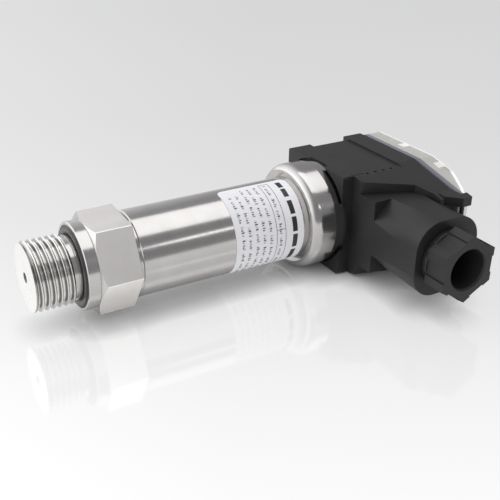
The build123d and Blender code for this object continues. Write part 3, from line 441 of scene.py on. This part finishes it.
@dataclass
class HelicalThread:
    """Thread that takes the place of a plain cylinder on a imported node."""

    crest_r: float
    root_r: float
    pitch: float
    start: float
    end: float
    lead: float
    start_r: float
    end_r: float
    steps: int = 144
    rows: int = 24
    sharpness: float = 0.86
    crease: float = math.radians(28)
    slack: float = 0.02 * MM
    weld: float = 0.0005 * MM
    wall_limit: float = 0.9

    def radius(self, angle: float, height: float) -> float:
        """Radius of the thread's surface.

        Args:
            angle: Angle around the axis.
            height: Distance along the axis.

        Returns:
            Radius in metres.
        """
        wave = math.sin(2 * math.pi * height / self.pitch - angle)
        shape = math.asin(self.sharpness * wave) / math.asin(self.sharpness)
        thread = (self.crest_r + self.root_r) / 2 + shape * (self.crest_r - self.root_r) / 2
        reach = min(1.0, (height - self.start) / self.lead)
        cone = self.start_r + reach * (self.crest_r - self.start_r)
        return cone - reach * max(0.0, cone - thread)

    def is_plain(self, face: bmesh.types.BMFace) -> bool:
        """Tells whether a face is part of the plain cylinder, its lead-in or its end.

        Args:
            face: Face of the node's mesh.

        Returns:
            True if the thread takes its place.
        """
        points = [vertex.co for vertex in face.verts]
        if any(p.z > self.end + self.slack for p in points):
            return False
        if all(abs(p.z - self.end) < self.slack for p in points):
            return True
        outer = all(Vector(p.xy).length > self.start_r - self.slack for p in points)
        wall = abs(face.normal.z) < self.wall_limit
        return outer and wall and any(p.z > self.start + self.slack for p in points)

    def cut(self, node: str, name: str, body: Body) -> bpy.types.Object:
        """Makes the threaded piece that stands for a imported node.

        Args:
            node: Name of the node.
            name: Name of the new piece.
            body: Body that carries it.

        Returns:
            The new piece.
        """
        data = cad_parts[node].data.copy()
        mesh = bmesh.new()
        mesh.from_mesh(data)
        bmesh.ops.remove_doubles(mesh, verts=mesh.verts, dist=self.weld)
        plain = [face for face in mesh.faces if self.is_plain(face)]
        bmesh.ops.delete(mesh, geom=plain, context="FACES")
        self.add_surface(mesh)
        bmesh.ops.remove_doubles(mesh, verts=mesh.verts, dist=self.weld)
        for face in mesh.faces:
            face.smooth = True
        for edge in mesh.edges:
            points = [vertex.co for vertex in edge.verts]
            inside = all(self.start + self.slack < p.z < self.end - self.slack for p in points)
            threaded = inside and all(Vector(p.xy).length > self.end_r for p in points)
            even = len(edge.link_faces) == 2 and edge.calc_face_angle() < self.crease
            edge.smooth = threaded or even
        mesh.to_mesh(data)
        mesh.free()
        if "custom_normal" in data.attributes:
            data.attributes.remove(data.attributes["custom_normal"])
        piece = link(name, data, body)
        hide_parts(node)
        return piece

    def add_surface(self, mesh: bmesh.types.BMesh) -> None:
        """Adds the helical surface, in rows that follow the helix, and the wall at its end.

        Args:
            mesh: Mesh that gets the surface.
        """
        row = self.pitch / self.rows
        count = math.ceil((self.end - self.start) / row) + self.rows
        columns, heights = [], []
        for i in range(self.steps + 1):
            foot = self.start - self.pitch + self.pitch * i / self.steps
            levels = [foot + row * k for k in range(count + 1)]
            heights.append([min(max(level, self.start), self.end) for level in levels])
            columns.append([self.add_point(mesh, i, height) for height in heights[-1]])
            columns[-1].append(self.add_point(mesh, i, self.end, self.end_r))
            heights[-1].append(self.end)
        for i in range(self.steps):
            low, high = columns[i], columns[i + 1]
            for k in range(count + 1):
                corners = (heights[i][k], heights[i][k + 1], heights[i + 1][k], heights[i + 1][k + 1])
                if k == count or max(corners) > min(corners):
                    mesh.faces.new((low[k], high[k], high[k + 1], low[k + 1]))

    def add_point(
        self, mesh: bmesh.types.BMesh, step: int, height: float, radius: float | None = None
    ) -> bmesh.types.BMVert:
        """Adds one point of the surface.

        Args:
            mesh: Mesh that gets the point.
            step: Its step around the axis.
            height: Distance along the axis.
            radius: Fixed radius, or None for the thread's own.

        Returns:
            The new point.
        """
        angle = 2 * math.pi * step / self.steps
        r = radius or self.radius(angle, height)
        return mesh.verts.new((r * math.cos(angle), r * math.sin(angle), height))


@dataclass
class ProcessConnection:
    """Threaded port with its collar, hexagon and profile ring."""

    palette: Palette
    hex_from: float = 3.5 * MM
    hex_to: float = 15.6 * MM
    collar_r: float = 13.25 * MM
    thread: HelicalThread = field(
        default_factory=lambda: HelicalThread(
            crest_r=10.4775 * MM,
            root_r=9.3155 * MM,
            pitch=1.814 * MM,
            start=-14.0 * MM,
            end=-2.5 * MM,
            lead=1.1 * MM,
            start_r=10.0775 * MM,
            end_r=9.25 * MM,
        )
    )

    flats: Finish = Finish(
        slot=Slot.BRIGHT_STEEL,
        name="milled_steel",
        colour=(0.84, 0.815, 0.79),
        second=(0.91, 0.885, 0.86),
        roughness=0.38,
        metallic=0.84,
        pattern=Pattern.DRAWN,
        grain=0.25 * MM,
        relief=0.002 * MM,
    )
    # The tone by radius paints light: painted highlights along the root and the crest of the thread,
    # and painted shade on the flanks between them.
    thread_painted_light: RadialFinish = RadialFinish(
        name="cut_thread_steel",
        inner=9.3155 * MM,
        outer=10.4775 * MM,
        tones={
            0.0: (0.92, 0.91, 0.89),
            0.1: (0.85, 0.84, 0.82),
            0.28: (0.38, 0.37, 0.36),
            0.7: (0.42, 0.41, 0.4),
            0.93: (0.7, 0.69, 0.67),
            1.0: (0.8, 0.79, 0.77),
        },
        roughness=0.2,
        metallic=1.0,
    )
    # Near-black steel in the bore: painted shade inside the hole.
    painted_bore_shade: Finish = Finish(
        slot=Slot.BRIGHT_STEEL,
        name="painted_bore_shade",
        colour=(0.08, 0.08, 0.08),
        second=(0.12, 0.12, 0.12),
        roughness=0.3,
        metallic=1.0,
    )
    faced: Finish = Finish(
        slot=Slot.BRIGHT_STEEL,
        name="faced_steel",
        colour=(0.9, 0.89, 0.875),
        second=(0.95, 0.94, 0.925),
        roughness=0.28,
        metallic=0.8,
        pattern=Pattern.TURNED,
        grain=0.12 * MM,
        relief=0.0008 * MM,
    )
    # The tone by radius paints a lighter brown-grey band across the middle of the ring: partly the
    # rubber's own tone, partly a painted highlight.
    sealing: RadialFinish = RadialFinish(
        name="profile_rubber_and_highlight",
        inner=10.3 * MM,
        outer=12.6 * MM,
        tones={
            0.0: (0.02, 0.02, 0.02),
            0.2: (0.12, 0.11, 0.1),
            0.45: (0.1, 0.09, 0.085),
            0.55: (0.018, 0.017, 0.016),
        },
        roughness=0.4,
    )
    edge: float = 0.24 * MM
    edge_length: float = 2 * MM
    edge_angle: float = math.radians(50)
    bore_r: float = 1.65 * MM
    slack: float = 0.01 * MM
    land: float = 0.1 * MM
    upright: float = 0.1

    def build(self) -> None:
        """Cuts the thread and dresses the port and its ring."""
        port = self.thread.cut("process_connection", "threaded_port", Body.PROCESS)
        self.palette.dress(port, Slot.BRIGHT_STEEL)
        for finish in (self.flats, self.thread_painted_light, self.painted_bore_shade, self.faced):
            port.data.materials.append(finish.build())
        for face in port.data.polygons:
            points = [port.data.vertices[i].co for i in face.vertices]
            radii = [Vector(p.xy).length for p in points]
            if self.is_flat(face.normal, points):
                face.material_index = PortFace.FLAT
            elif all(p.z < self.thread.start + self.slack for p in points):
                face.material_index = PortFace.FACED
            elif max(radii) < self.bore_r:
                face.material_index = PortFace.BORE
            elif all(p.z < self.thread.end for p in points) and min(radii) > self.thread.end_r:
                face.material_index = PortFace.THREAD
        self.mark_edges(port.data)
        bevel = port.modifiers.new("edge", "BEVEL")
        bevel.width = self.edge
        bevel.segments = ROUNDING_STEPS
        bevel.limit_method = "WEIGHT"
        bevel.use_clamp_overlap = False
        bevel.harden_normals = True
        bevel.material = PortFace.FACED
        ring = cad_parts["profile_seal_ring"]
        self.palette.dress(ring, Slot.BLACK_RUBBER)
        wear(ring, self.sealing.build())

    def is_flat(self, normal: Vector, points: list[Vector]) -> bool:
        """Tells whether a face is on a flat of the hexagon.

        Args:
            normal: Normal of the face.
            points: Its corners.

        Returns:
            True for a flat.
        """
        inside = all(self.hex_from < p.z < self.hex_to + self.slack for p in points)
        outside = max(Vector(p.xy).length for p in points) > self.collar_r + self.land
        return inside and outside and abs(normal.z) < self.upright

    def mark_edges(self, data: bpy.types.Mesh) -> None:
        """Marks the edges of the hexagon that get a fine rounding.

        Args:
            data: Mesh of the port.
        """
        mesh = bmesh.new()
        mesh.from_mesh(data)
        weight = mesh.edges.layers.float.new("bevel_weight_edge")
        for edge in mesh.edges:
            points = [vertex.co for vertex in edge.verts]
            low, high = self.hex_from - self.slack, self.hex_to + self.slack
            around = all(low < p.z < high for p in points)
            outside = all(Vector(p.xy).length > self.collar_r - self.slack for p in points)
            long = edge.calc_length() > self.edge_length
            if not (around and outside and long and len(edge.link_faces) == 2):
                continue
            if edge.calc_face_angle() > self.edge_angle:
                edge[weight] = 1.0
        mesh.to_mesh(data)
        mesh.free()


@dataclass
class LabelPrint:
    """Generic print of the label: a heading of plain bars, a lined field and rows of strokes."""

    radius: float = 13.40 * MM
    lift: float = 0.012 * MM
    step: float = math.radians(2.0)
    top: float = math.radians(-86.0)
    # The bars, and the margins and ends of the rows, are in degrees
    bars: tuple[tuple[float, float], ...] = (
        (-84, -72),
        (-69, -55),
        (-49, -30),
        (-26, -6),
        (-2, 18),
        (23, 46),
    )
    bar_from: float = 66.9 * MM
    bar_to: float = 68.6 * MM
    field_from: float = 61.0 * MM
    field_to: float = 64.2 * MM
    field_end: float = math.radians(126.0)
    divider: float = math.radians(-13.0)
    line: float = 0.14 * MM
    row_places: tuple[float, ...] = (
        62.1 * MM,
        58.6 * MM,
        56.2 * MM,
        53.8 * MM,
        51.2 * MM,
        48.8 * MM,
    )
    row_height: float = 1.0 * MM
    row_margin: float = 4.0
    late_margin: float = 9.0
    last_early_row: int = 3
    row_end: float = 114.0
    row_shorter: float = 7.0
    stroke: float = 0.38 * MM
    stroke_gap: float = 0.32 * MM
    word_gap: float = 1.3 * MM
    word_strokes: int = 6
    width_mean: float = 0.6
    width_swing: float = 0.5
    width_beat: float = 1.7
    height_mean: float = 0.75
    height_swing: float = 0.25
    height_beat: float = 2.3

    def patch(self, mesh: bmesh.types.BMesh, a0: float, a1: float, z0: float, z1: float) -> None:
        """Adds a patch of ink that follows the tube.

        Args:
            mesh: Mesh that gets the patch.
            a0: Angle where it starts.
            a1: Angle where it ends.
            z0: Its lower edge.
            z1: Its upper edge.
        """
        count = max(1, math.ceil((a1 - a0) / self.step))
        r = self.radius + self.lift
        edge = []
        for i in range(count + 1):
            angle = a0 + (a1 - a0) * i / count
            x, y = r * math.cos(angle), r * math.sin(angle)
            edge.append((mesh.verts.new((x, y, z0)), mesh.verts.new((x, y, z1))))
        for (a, b), (c, d) in zip(edge, edge[1:]):
            mesh.faces.new((a, c, d, b))

    def heading(self, mesh: bmesh.types.BMesh) -> None:
        """Adds the plain bars of the heading and the lined field beside it.

        Args:
            mesh: Mesh that gets them.
        """
        for a0, a1 in self.bars:
            self.patch(mesh, math.radians(a0), math.radians(a1), self.bar_from, self.bar_to)
        for z in (self.field_from, self.field_to):
            self.patch(mesh, self.top, self.field_end, z, z + self.line)
        for angle in (self.top, self.divider, self.field_end):
            self.patch(mesh, angle, angle + self.line / self.radius, self.field_from, self.field_to)

    def rows(self, mesh: bmesh.types.BMesh) -> None:
        """Adds rows of short strokes, as tall as small print, with widths and heights that vary.

        Args:
            mesh: Mesh that gets them.
        """
        for index, place in enumerate(self.row_places):
            late = self.late_margin * (index > self.last_early_row)
            angle = self.top + math.radians(self.row_margin + late)
            count = 0
            while angle < math.radians(self.row_end - self.row_shorter * index):
                wide = math.sin(self.width_beat * count + index)
                tall = math.cos(self.height_beat * count + index)
                width = self.stroke * (self.width_mean + self.width_swing * wide)
                height = self.row_height * (self.height_mean + self.height_swing * tall)
                self.patch(mesh, angle, angle + width / self.radius, place, place + height)
                gap = self.stroke_gap if (count + index) % self.word_strokes else self.word_gap
                angle += (width + gap) / self.radius
                count += 1

    def build(self, name: str, ink: bpy.types.Material, rows: bool) -> bpy.types.Object:
        """Makes one colour of the print.

        Args:
            name: Name of the piece.
            ink: Its material.
            rows: True for the rows, False for the heading.

        Returns:
            The new piece.
        """
        mesh = bmesh.new()
        if rows:
            self.rows(mesh)
        else:
            self.heading(mesh)
        data = settle(mesh, name)
        data.shade_smooth()
        piece = link(name, data, Body.PROCESS)
        wear(piece, ink)
        return piece


@dataclass
class TubeAndLabel:
    """Polished tube with its label and the head ring."""

    palette: Palette
    print_on_label: LabelPrint = field(default_factory=LabelPrint)
    heading_shade: float = 0.02
    row_shade: float = 0.05
    ink_grain: float = 0.3 * MM
    ink_spread: float = 1.4
    ink_roughness: float = 0.45

    def ink(self, name: str, shade: float) -> bpy.types.Material:
        """Makes a printing ink.

        Args:
            name: Name of the material.
            shade: Grey value of the ink.

        Returns:
            The material.
        """
        graph = NodeGraph.material(name)
        noise = graph.noise(graph.place(), self.ink_grain, BROAD_DETAIL)
        light = shade * self.ink_spread
        tone = graph.ramp(noise, {NOISE_LOW: (shade,) * 3, NOISE_HIGH: (light,) * 3})
        values = {"Base Color": tone, "Roughness": self.ink_roughness}
        shader = graph.add("ShaderNodeBsdfPrincipled", values)
        return graph.close(shader.outputs["BSDF"])

    def build(self) -> None:
        """Dresses the tube, the label and the head ring, and prints the label."""
        self.palette.dress_nodes(
            {
                "housing_tube": Slot.BRIGHT_STEEL,
                "head_ring": Slot.BRIGHT_STEEL,
                "rating_label": Slot.LABEL_FOIL,
            }
        )
        heading, rows = self.ink("heading_ink", self.heading_shade), self.ink("row_ink", self.row_shade)
        self.print_on_label.build("label_heading", heading, rows=False)
        self.print_on_label.build("label_rows", rows, rows=True)


@dataclass
class MeasuringCell:
    """Ceramic pressure cell between its seal ring and its clamp ring."""

    palette: Palette

    def build(self) -> None:
        """Dresses the cell and its rings."""
        self.palette.dress_nodes(
            {
                "cell_seal_ring": Slot.BLACK_RUBBER,
                "pressure_cell": Slot.CELL_CERAMIC,
                "cell_clamp_ring": Slot.BRIGHT_STEEL,
            }
        )


@dataclass
class Electronics:
    """Circuit board in its holder, with the components on both faces."""

    palette: Palette

    def build(self) -> None:
        """Dresses the board, its holder and its components."""
        self.palette.dress_nodes(
            {
                "board_holder": Slot.CARRIER_PLASTIC,
                "electronics_board": Slot.BOARD_LAMINATE,
                "board_components": Slot.COMPONENT_BLACK,
            }
        )


@dataclass
class PlugInsert:
    """Moulded insert of the plug with its blades, seal ring and threaded insert."""

    palette: Palette

    def build(self) -> None:
        """Dresses the pieces of the plug."""
        self.palette.dress_nodes(
            {
                "plug_insert": Slot.CARRIER_PLASTIC,
                "insert_seal_ring": Slot.BLACK_RUBBER,
                "threaded_insert": Slot.CONTACT_BRASS,
                "contact_blades": Slot.TINNED_BRASS,
                "earth_blade": Slot.TINNED_BRASS,
            }
        )


@dataclass
class CableSocket:
    """Black moulded housing with its contacts, gaskets and hinge pin."""

    palette: Palette
    dot_x: float = 15.6 * MM
    dot_heights: tuple[float, ...] = (92.6 * MM, 95.75 * MM, 98.9 * MM, 102.05 * MM)
    flank: float = 16.8 * MM
    dot_r: float = 0.52 * MM
    dot_rise: float = 0.03 * MM
    dot_segments: int = 16
    dot_rings: int = 8
    edge: float = 0.22 * MM
    # Near-black caps: painted shade that stands for small pits in the flanks.
    mark: Finish = Finish(
        slot=Slot.BLACK_NYLON,
        name="painted_pit_shade",
        colour=(0.001, 0.001, 0.001),
        second=(0.002, 0.002, 0.002),
        roughness=0.9,
        ior=1.1,
    )

    def build(self) -> None:
        """Dresses the socket's pieces and adds the dark caps on its flanks, painted shade that stands
        for small pits.
        """
        self.palette.dress_nodes(
            {
                "flat_gasket": Slot.BLACK_RUBBER,
                "connector_housing": Slot.BLACK_NYLON,
                "contact_carrier": Slot.CARRIER_PLASTIC,
                "socket_contacts": Slot.TINNED_BRASS,
                "terminal_screws": Slot.PLATED_STEEL,
                "lid_gasket": Slot.GREY_RUBBER,
                "hinge_pin": Slot.PLATED_STEEL,
                "cable_grommet": Slot.BLACK_RUBBER,
            }
        )
        soften(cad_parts["connector_housing"], self.edge)
        self.dots()

    def dots(self) -> None:
        """Adds the row of small dark caps on both flanks: painted shade that stands for small pits."""
        mesh = bmesh.new()
        for side in (-1, 1):
            for height in self.dot_heights:
                place = Matrix.Translation((self.dot_x, side * self.flank, height))
                squeeze = Matrix.Diagonal((self.dot_r, self.dot_rise, self.dot_r, 1.0))
                bmesh.ops.create_uvsphere(
                    mesh,
                    u_segments=self.dot_segments,
                    v_segments=self.dot_rings,
                    radius=1.0,
                    matrix=place @ squeeze,
                )
        data = settle(mesh, "flank_dots")
        data.shade_smooth()
        dots = link("flank_dots", data, Body.SOCKET)
        wear(dots, self.mark.build())


@dataclass
class RearLid:
    """Clear lid on the back of the socket, with a painted highlight and a painted glow on its rim and
    ribs, and a bluish foot.
    """

    rib_places: tuple[float, float] = (1.0 * MM, 19.0 * MM)
    rib_half: float = 1.5 * MM
    rib_foot: float = 118.0 * MM
    rib_side: float = 12.0 * MM
    rib_share: float = 0.4
    foot_top: float = 115.8 * MM
    outline: tuple[tuple[float, float], ...] = (
        (-16.0 * MM, 121.9 * MM),
        (22.5 * MM, 121.9 * MM),
        (32.0 * MM, 117.9 * MM),
        (35.0 * MM, 116.3 * MM),
    )
    rim: float = 1.2 * MM
    painted_glow: float = 0.22
    wall: Colour = (0.62, 0.61, 0.57)
    # Colour of the painted highlight on the rim and the ribs, and of their glow.
    light: Colour = (0.97, 0.96, 0.92)
    foot: Colour = (0.21, 0.215, 0.25)
    foot_end: float = 35.3 * MM
    foot_blend: float = 0.3 * MM
    rim_blend: float = 0.04
    cloud_size: float = 3 * MM
    cloud: tuple[float, float] = (0.97, 1.02)
    roughness: tuple[float, float] = (0.2, 0.3)
    clear_wall: float = 0.14
    clear_rim: float = 0.05
    softness: float = 0.2 * MM
    ior: float = 1.5

    def build(self) -> None:
        """Dresses the lid."""
        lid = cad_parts["rear_lid"]
        wear(lid, self.finish())
        soften(lid, self.softness)

    def finish(self) -> bpy.types.Material:
        """Makes the lid's finish.

        Returns:
            The material.
        """
        graph = NodeGraph.material(Slot.CLEAR_PLASTIC.value)
        place = graph.place()
        point = graph.add("ShaderNodeSeparateXYZ", {"Vector": place})
        rim, ribs = self.find_rim(graph, point), self.find_ribs(graph, point)
        foot = self.find_foot(graph, point)
        cloud = graph.noise(place, self.cloud_size)
        # The rim and the stretches with a rib behind them are painted lighter: a painted highlight.
        wall = graph.mix(ribs, graph.mix(rim, self.wall, self.light), self.light)
        tone = graph.scale(graph.mix(foot, wall, self.foot), graph.spread(cloud, *self.cloud))
        firm_and_painted_glow = graph.calculate("MAXIMUM", rim, graph.calculate("MULTIPLY", ribs, self.rib_share))
        solid = graph.calculate("MAXIMUM", firm_and_painted_glow, foot)
        clearness = {"Value": solid, "To Min": self.clear_wall, "To Max": self.clear_rim}
        shader = graph.add(
            "ShaderNodeBsdfPrincipled",
            {
                "Base Color": tone,
                "Roughness": graph.spread(cloud, *self.roughness),
                "IOR": self.ior,
                "Transmission Weight": graph.add("ShaderNodeMapRange", clearness).outputs["Result"],
                # The rim and the ribs glow a little though they are no lamp: painted light.
                "Emission Color": (*self.light, 1.0),
                "Emission Strength": graph.calculate("MULTIPLY", firm_and_painted_glow, self.painted_glow),
            },
        )
        return graph.close(shader.outputs["BSDF"])

    def find_rim(self, graph: NodeGraph, point: bpy.types.Node) -> bpy.types.NodeSocket:
        """Finds the rim along the top of the side walls.

        Args:
            graph: Tree of the material.
            point: Node with the parts of the place.

        Returns:
            Socket that is 1 at the rim.
        """
        first, last = self.outline[0][0], self.outline[-1][0]
        low, high = self.outline[-1][1], self.outline[0][1]
        stops = {
            (x - first) / (last - first): ((z - low) / (high - low),) * 3
            for x, z in self.outline
        }
        top = graph.ramp(graph.share(point.outputs["X"], first, last), stops)
        height = graph.share(point.outputs["Z"], low - self.rim, high - self.rim, clamp=False)
        over = graph.calculate("SUBTRACT", height, top)
        return graph.share(over, 0.0, self.rim_blend)

    def find_ribs(self, graph: NodeGraph, point: bpy.types.Node) -> bpy.types.NodeSocket:
        """Finds the stretches of the side walls that have a rib behind them.

        Args:
            graph: Tree of the material.
            point: Node with the parts of the place.

        Returns:
            Socket that is 1 at a rib.
        """
        x, y, z = (point.outputs[axis] for axis in "XYZ")
        first, second = self.rib_places
        near = graph.calculate(
            "MAXIMUM",
            graph.calculate("COMPARE", x, first, self.rib_half),
            graph.calculate("COMPARE", x, second, self.rib_half),
        )
        high = graph.calculate("GREATER_THAN", z, self.rib_foot)
        outer = graph.calculate("GREATER_THAN", graph.calculate("ABSOLUTE", y), self.rib_side)
        return graph.calculate("MULTIPLY", near, graph.calculate("MULTIPLY", high, outer))

    def find_foot(self, graph: NodeGraph, point: bpy.types.Node) -> bpy.types.NodeSocket:
        """Finds the foot of the walls, short of the hinge.

        Args:
            graph: Tree of the material.
            point: Node with the parts of the place.

        Returns:
            Socket that is 1 at the foot.
        """
        low = graph.share(point.outputs["Z"], self.foot_top, self.foot_top - self.foot_blend)
        shell = graph.calculate("LESS_THAN", point.outputs["X"], self.foot_end)
        return graph.calculate("MULTIPLY", low, shell)


@dataclass
class CableGland:
    """Gland nut and the washer in front of it."""

    palette: Palette
    edge: float = 0.25 * MM

    def build(self) -> None:
        """Dresses the nut and the washer."""
        self.palette.dress_nodes({"gland_nut": Slot.BLACK_NYLON, "gland_washer": Slot.CARRIER_PLASTIC})
        soften(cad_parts["gland_nut"], self.edge)


@dataclass
class LockingScrew:
    """Screw that holds the socket on the plug, with its seal."""

    palette: Palette

    def build(self) -> None:
        """Dresses the screw and its seal."""
        self.palette.dress_nodes({"locking_screw": Slot.PLATED_STEEL, "screw_seal": Slot.BLACK_RUBBER})


@dataclass
class SoftLight:
    """Flat studio light that looks at a point."""

    name: str
    place: Colour
    target: Colour
    width: float
    height: float
    radiance: float
    up: Colour = (0.0, 0.0, 1.0)

    def build(self) -> None:
        """Adds the light."""
        lamp = bpy.data.lights.new(self.name, "AREA")
        lamp.shape = "RECTANGLE"
        lamp.size = self.width
        lamp.size_y = self.height
        lamp.energy = self.radiance * math.pi * self.width * self.height
        holder = bpy.data.objects.new(self.name, lamp)
        backward = (Vector(self.place) - Vector(self.target)).normalized()
        side = Vector(self.up).cross(backward).normalized()
        turn = Matrix((side, backward.cross(side), backward)).transposed().to_4x4()
        holder.matrix_world = Matrix.Translation(self.place) @ turn
        bpy.context.scene.collection.objects.link(holder)


@dataclass
class Studio:
    """Pale glossy floor, soft light and the camera."""

    floor_y: float = 17.46 * MM
    floor_reach: float = 2.5
    away: Colour = (-0.8605, 0.0, 0.5095)
    camera_place: Colour = (0.20870, -0.11311, -0.06435)
    camera_right: Colour = (0.5039, -0.0127, 0.8637)
    camera_up: Colour = (-0.3943, -0.8930, 0.2169)
    camera_back: Colour = (0.7685, -0.4498, -0.4550)
    lens: float = 60.07
    sensor: float = 36.0
    clip_start: float = 5 * MM
    clip_end: float = 20.0
    floor_stops: Mapping[float, float] = field(
        default_factory=lambda: {
            0.0: 1.0,
            0.08: 0.92,
            0.15: 0.83,
            0.25: 0.76,
            0.45: 0.71,
            0.87: 0.68,
        }
    )
    near: float = -0.08
    far: float = 0.52
    glow: float = 0.87
    glow_strength: float = 1.13
    gloss: float = 0.16
    gloss_roughness: float = 0.08
    # Reach of the painted contact shadow in the floor's glow.
    contact: float = 10 * MM
    contact_samples: int = 8
    lights: tuple[SoftLight, ...] = (
        SoftLight("overhead_light", (0.0, -0.7, 0.3), (0.0, 0.0, 0.3), 0.72, 0.6, 1.38),
        SoftLight("strip_light", (0.47, -0.29, 0.29), (0.0, 0.0, 0.04), 0.05, 0.14, 2.4),
    )
    room_axis: Colour = (-0.55, 0.0, -0.83)
    room_stops: Mapping[float, float] = field(
        default_factory=lambda: {
            0.0: 0.14,
            0.4: 0.15,
            0.53: 0.18,
            0.6: 0.28,
            0.75: 0.55,
            1.0: 0.9,
        }
    )
    room_strength: float = 2.25
    room_blue: float = 1.02

    def floor(self) -> None:
        """Adds the floor, which shows from its front only."""
        mesh = bmesh.new()
        r = self.floor_reach
        corners = ((-r, -r), (r, -r), (r, r), (-r, r))
        mesh.faces.new([mesh.verts.new((x, self.floor_y, z)) for x, z in corners])
        plane = bpy.data.objects.new("studio_floor", settle(mesh, "studio_floor"))
        bpy.context.scene.collection.objects.link(plane)
        plane.data.materials.append(self.floor_finish())

    def floor_finish(self) -> bpy.types.Material:
        """Makes the floor's finish, with a shade that falls off away from the front and a painted
        contact shadow in its glow near the part.

        Returns:
            The material.
        """
        graph = NodeGraph.material("studio_floor")
        values = {0: graph.place(), 1: self.away}
        distance = graph.add("ShaderNodeVectorMath", values, operation="DOT_PRODUCT").outputs["Value"]
        stops = {position: (tone,) * 3 for position, tone in self.floor_stops.items()}
        shade = graph.ramp(graph.share(distance, self.near, self.far), stops)
        matt = graph.add("ShaderNodeBsdfDiffuse", {"Color": shade})
        # The glow is darkened where the part is near: painted contact shadow.
        values = {"Color": shade, "Distance": self.contact}
        free = graph.add("ShaderNodeAmbientOcclusion", values, samples=self.contact_samples)
        values = {"Color": free.outputs["Color"], "Strength": self.glow_strength}
        glow = graph.add("ShaderNodeEmission", values)
        ground = graph.blend(self.glow, matt.outputs["BSDF"], glow.outputs["Emission"])
        gloss = graph.add("ShaderNodeBsdfGlossy", {"Roughness": self.gloss_roughness})
        surface = graph.blend(self.gloss, ground, gloss.outputs["BSDF"])
        back = graph.add("ShaderNodeNewGeometry").outputs["Backfacing"]
        clear = graph.add("ShaderNodeBsdfTransparent")
        return graph.close(graph.blend(back, surface, clear.outputs["BSDF"]))

    def surroundings(self) -> None:
        """Sets the light of the room, brighter behind the part and darker on the camera's side."""
        world = bpy.data.worlds.new("studio_room")
        graph = NodeGraph(world)
        values = {0: graph.add("ShaderNodeTexCoord").outputs["Generated"], 1: self.room_axis}
        tilt = graph.add("ShaderNodeVectorMath", values, operation="DOT_PRODUCT").outputs["Value"]
        stops = {k: (tone, tone, tone * self.room_blue) for k, tone in self.room_stops.items()}
        room = graph.ramp(graph.share(tilt, -1.0, 1.0), stops)
        background = graph.add("ShaderNodeBackground", {"Color": room, "Strength": self.room_strength})
        graph.add("ShaderNodeOutputWorld", {"Surface": background.outputs["Background"]})
        bpy.context.scene.world = world

    def camera(self) -> None:
        """Adds the camera at the viewing angle of the photograph."""
        lens = bpy.data.cameras.new("studio_camera")
        lens.lens = self.lens
        lens.sensor_width = self.sensor
        lens.clip_start = self.clip_start
        lens.clip_end = self.clip_end
        holder = bpy.data.objects.new("studio_camera", lens)
        turn = Matrix((self.camera_right, self.camera_up, self.camera_back)).transposed().to_4x4()
        holder.matrix_world = Matrix.Translation(self.camera_place) @ turn
        bpy.context.scene.collection.objects.link(holder)
        bpy.context.scene.camera = holder

    def build(self) -> None:
        """Adds the floor, the lights and the camera."""
        bpy.context.scene.view_settings.view_transform = "Standard"
        self.camera()
        self.floor()
        self.surroundings()
        for light in self.lights:
            light.build()


def finishes() -> tuple[Finish, ...]:
    """Lists the finishes of the part.

    Returns:
        One finish for each slot that the palette serves.
    """
    return (
        Finish(
            slot=Slot.BRIGHT_STEEL,
            colour=(0.51, 0.496, 0.486),
            second=(0.56, 0.547, 0.536),
            roughness=0.18,
            roughness_spread=0.05,
            metallic=1.0,
            pattern=Pattern.TURNED,
            grain=0.14 * MM,
            relief=0.001 * MM,
        ),
        Finish(
            slot=Slot.PLATED_STEEL,
            colour=(0.62, 0.64, 0.66),
            second=(0.7, 0.71, 0.72),
            roughness=0.28,
            metallic=1.0,
        ),
        Finish(
            slot=Slot.BLACK_NYLON,
            colour=(0.017, 0.017, 0.018),
            second=(0.022, 0.022, 0.023),
            roughness=0.46,
            ior=1.4,
            roughness_spread=0.07,
            grain=0.35 * MM,
            relief=0.02 * MM,
        ),
        Finish(
            slot=Slot.GREY_RUBBER,
            colour=(0.2, 0.205, 0.245),
            second=(0.25, 0.255, 0.3),
            roughness=0.6,
        ),
        Finish(
            slot=Slot.BLACK_RUBBER,
            colour=(0.02, 0.02, 0.02),
            second=(0.03, 0.03, 0.03),
            roughness=0.55,
        ),
        Finish(
            slot=Slot.LABEL_FOIL,
            colour=(0.94, 0.94, 0.97),
            second=(0.97, 0.97, 1.0),
            roughness=0.42,
            grain=0.2 * MM,
        ),
        Finish(
            slot=Slot.CELL_CERAMIC,
            colour=(0.85, 0.84, 0.8),
            second=(0.9, 0.89, 0.85),
            roughness=0.5,
        ),
        Finish(
            slot=Slot.CARRIER_PLASTIC,
            colour=(0.05, 0.05, 0.055),
            second=(0.07, 0.07, 0.075),
            roughness=0.45,
        ),
        Finish(
            slot=Slot.BOARD_LAMINATE,
            colour=(0.02, 0.16, 0.07),
            second=(0.03, 0.2, 0.09),
            roughness=0.35,
        ),
        Finish(
            slot=Slot.COMPONENT_BLACK,
            colour=(0.03, 0.03, 0.03),
            second=(0.05, 0.05, 0.05),
            roughness=0.4,
        ),
        Finish(
            slot=Slot.CONTACT_BRASS,
            colour=(0.75, 0.55, 0.24),
            second=(0.8, 0.6, 0.3),
            roughness=0.3,
            metallic=1.0,
        ),
        Finish(
            slot=Slot.TINNED_BRASS,
            colour=(0.7, 0.69, 0.66),
            second=(0.76, 0.75, 0.72),
            roughness=0.33,
            metallic=1.0,
        ),
    )


def main() -> None:
    """Builds the sub-assemblies in order, then the studio around them."""
    logging.basicConfig(level=logging.INFO, format="%(message)s")
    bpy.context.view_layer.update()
    palette = Palette(finishes())
    for assembly in (
        ProcessConnection(palette),
        TubeAndLabel(palette),
        MeasuringCell(palette),
        Electronics(palette),
        PlugInsert(palette),
        CableSocket(palette),
        RearLid(),
        CableGland(palette),
        LockingScrew(palette),
    ):
        assembly.build()
        LOG.info("%s is done", type(assembly).__name__)
    Studio().build()


if __name__ == "__main__":
    main()
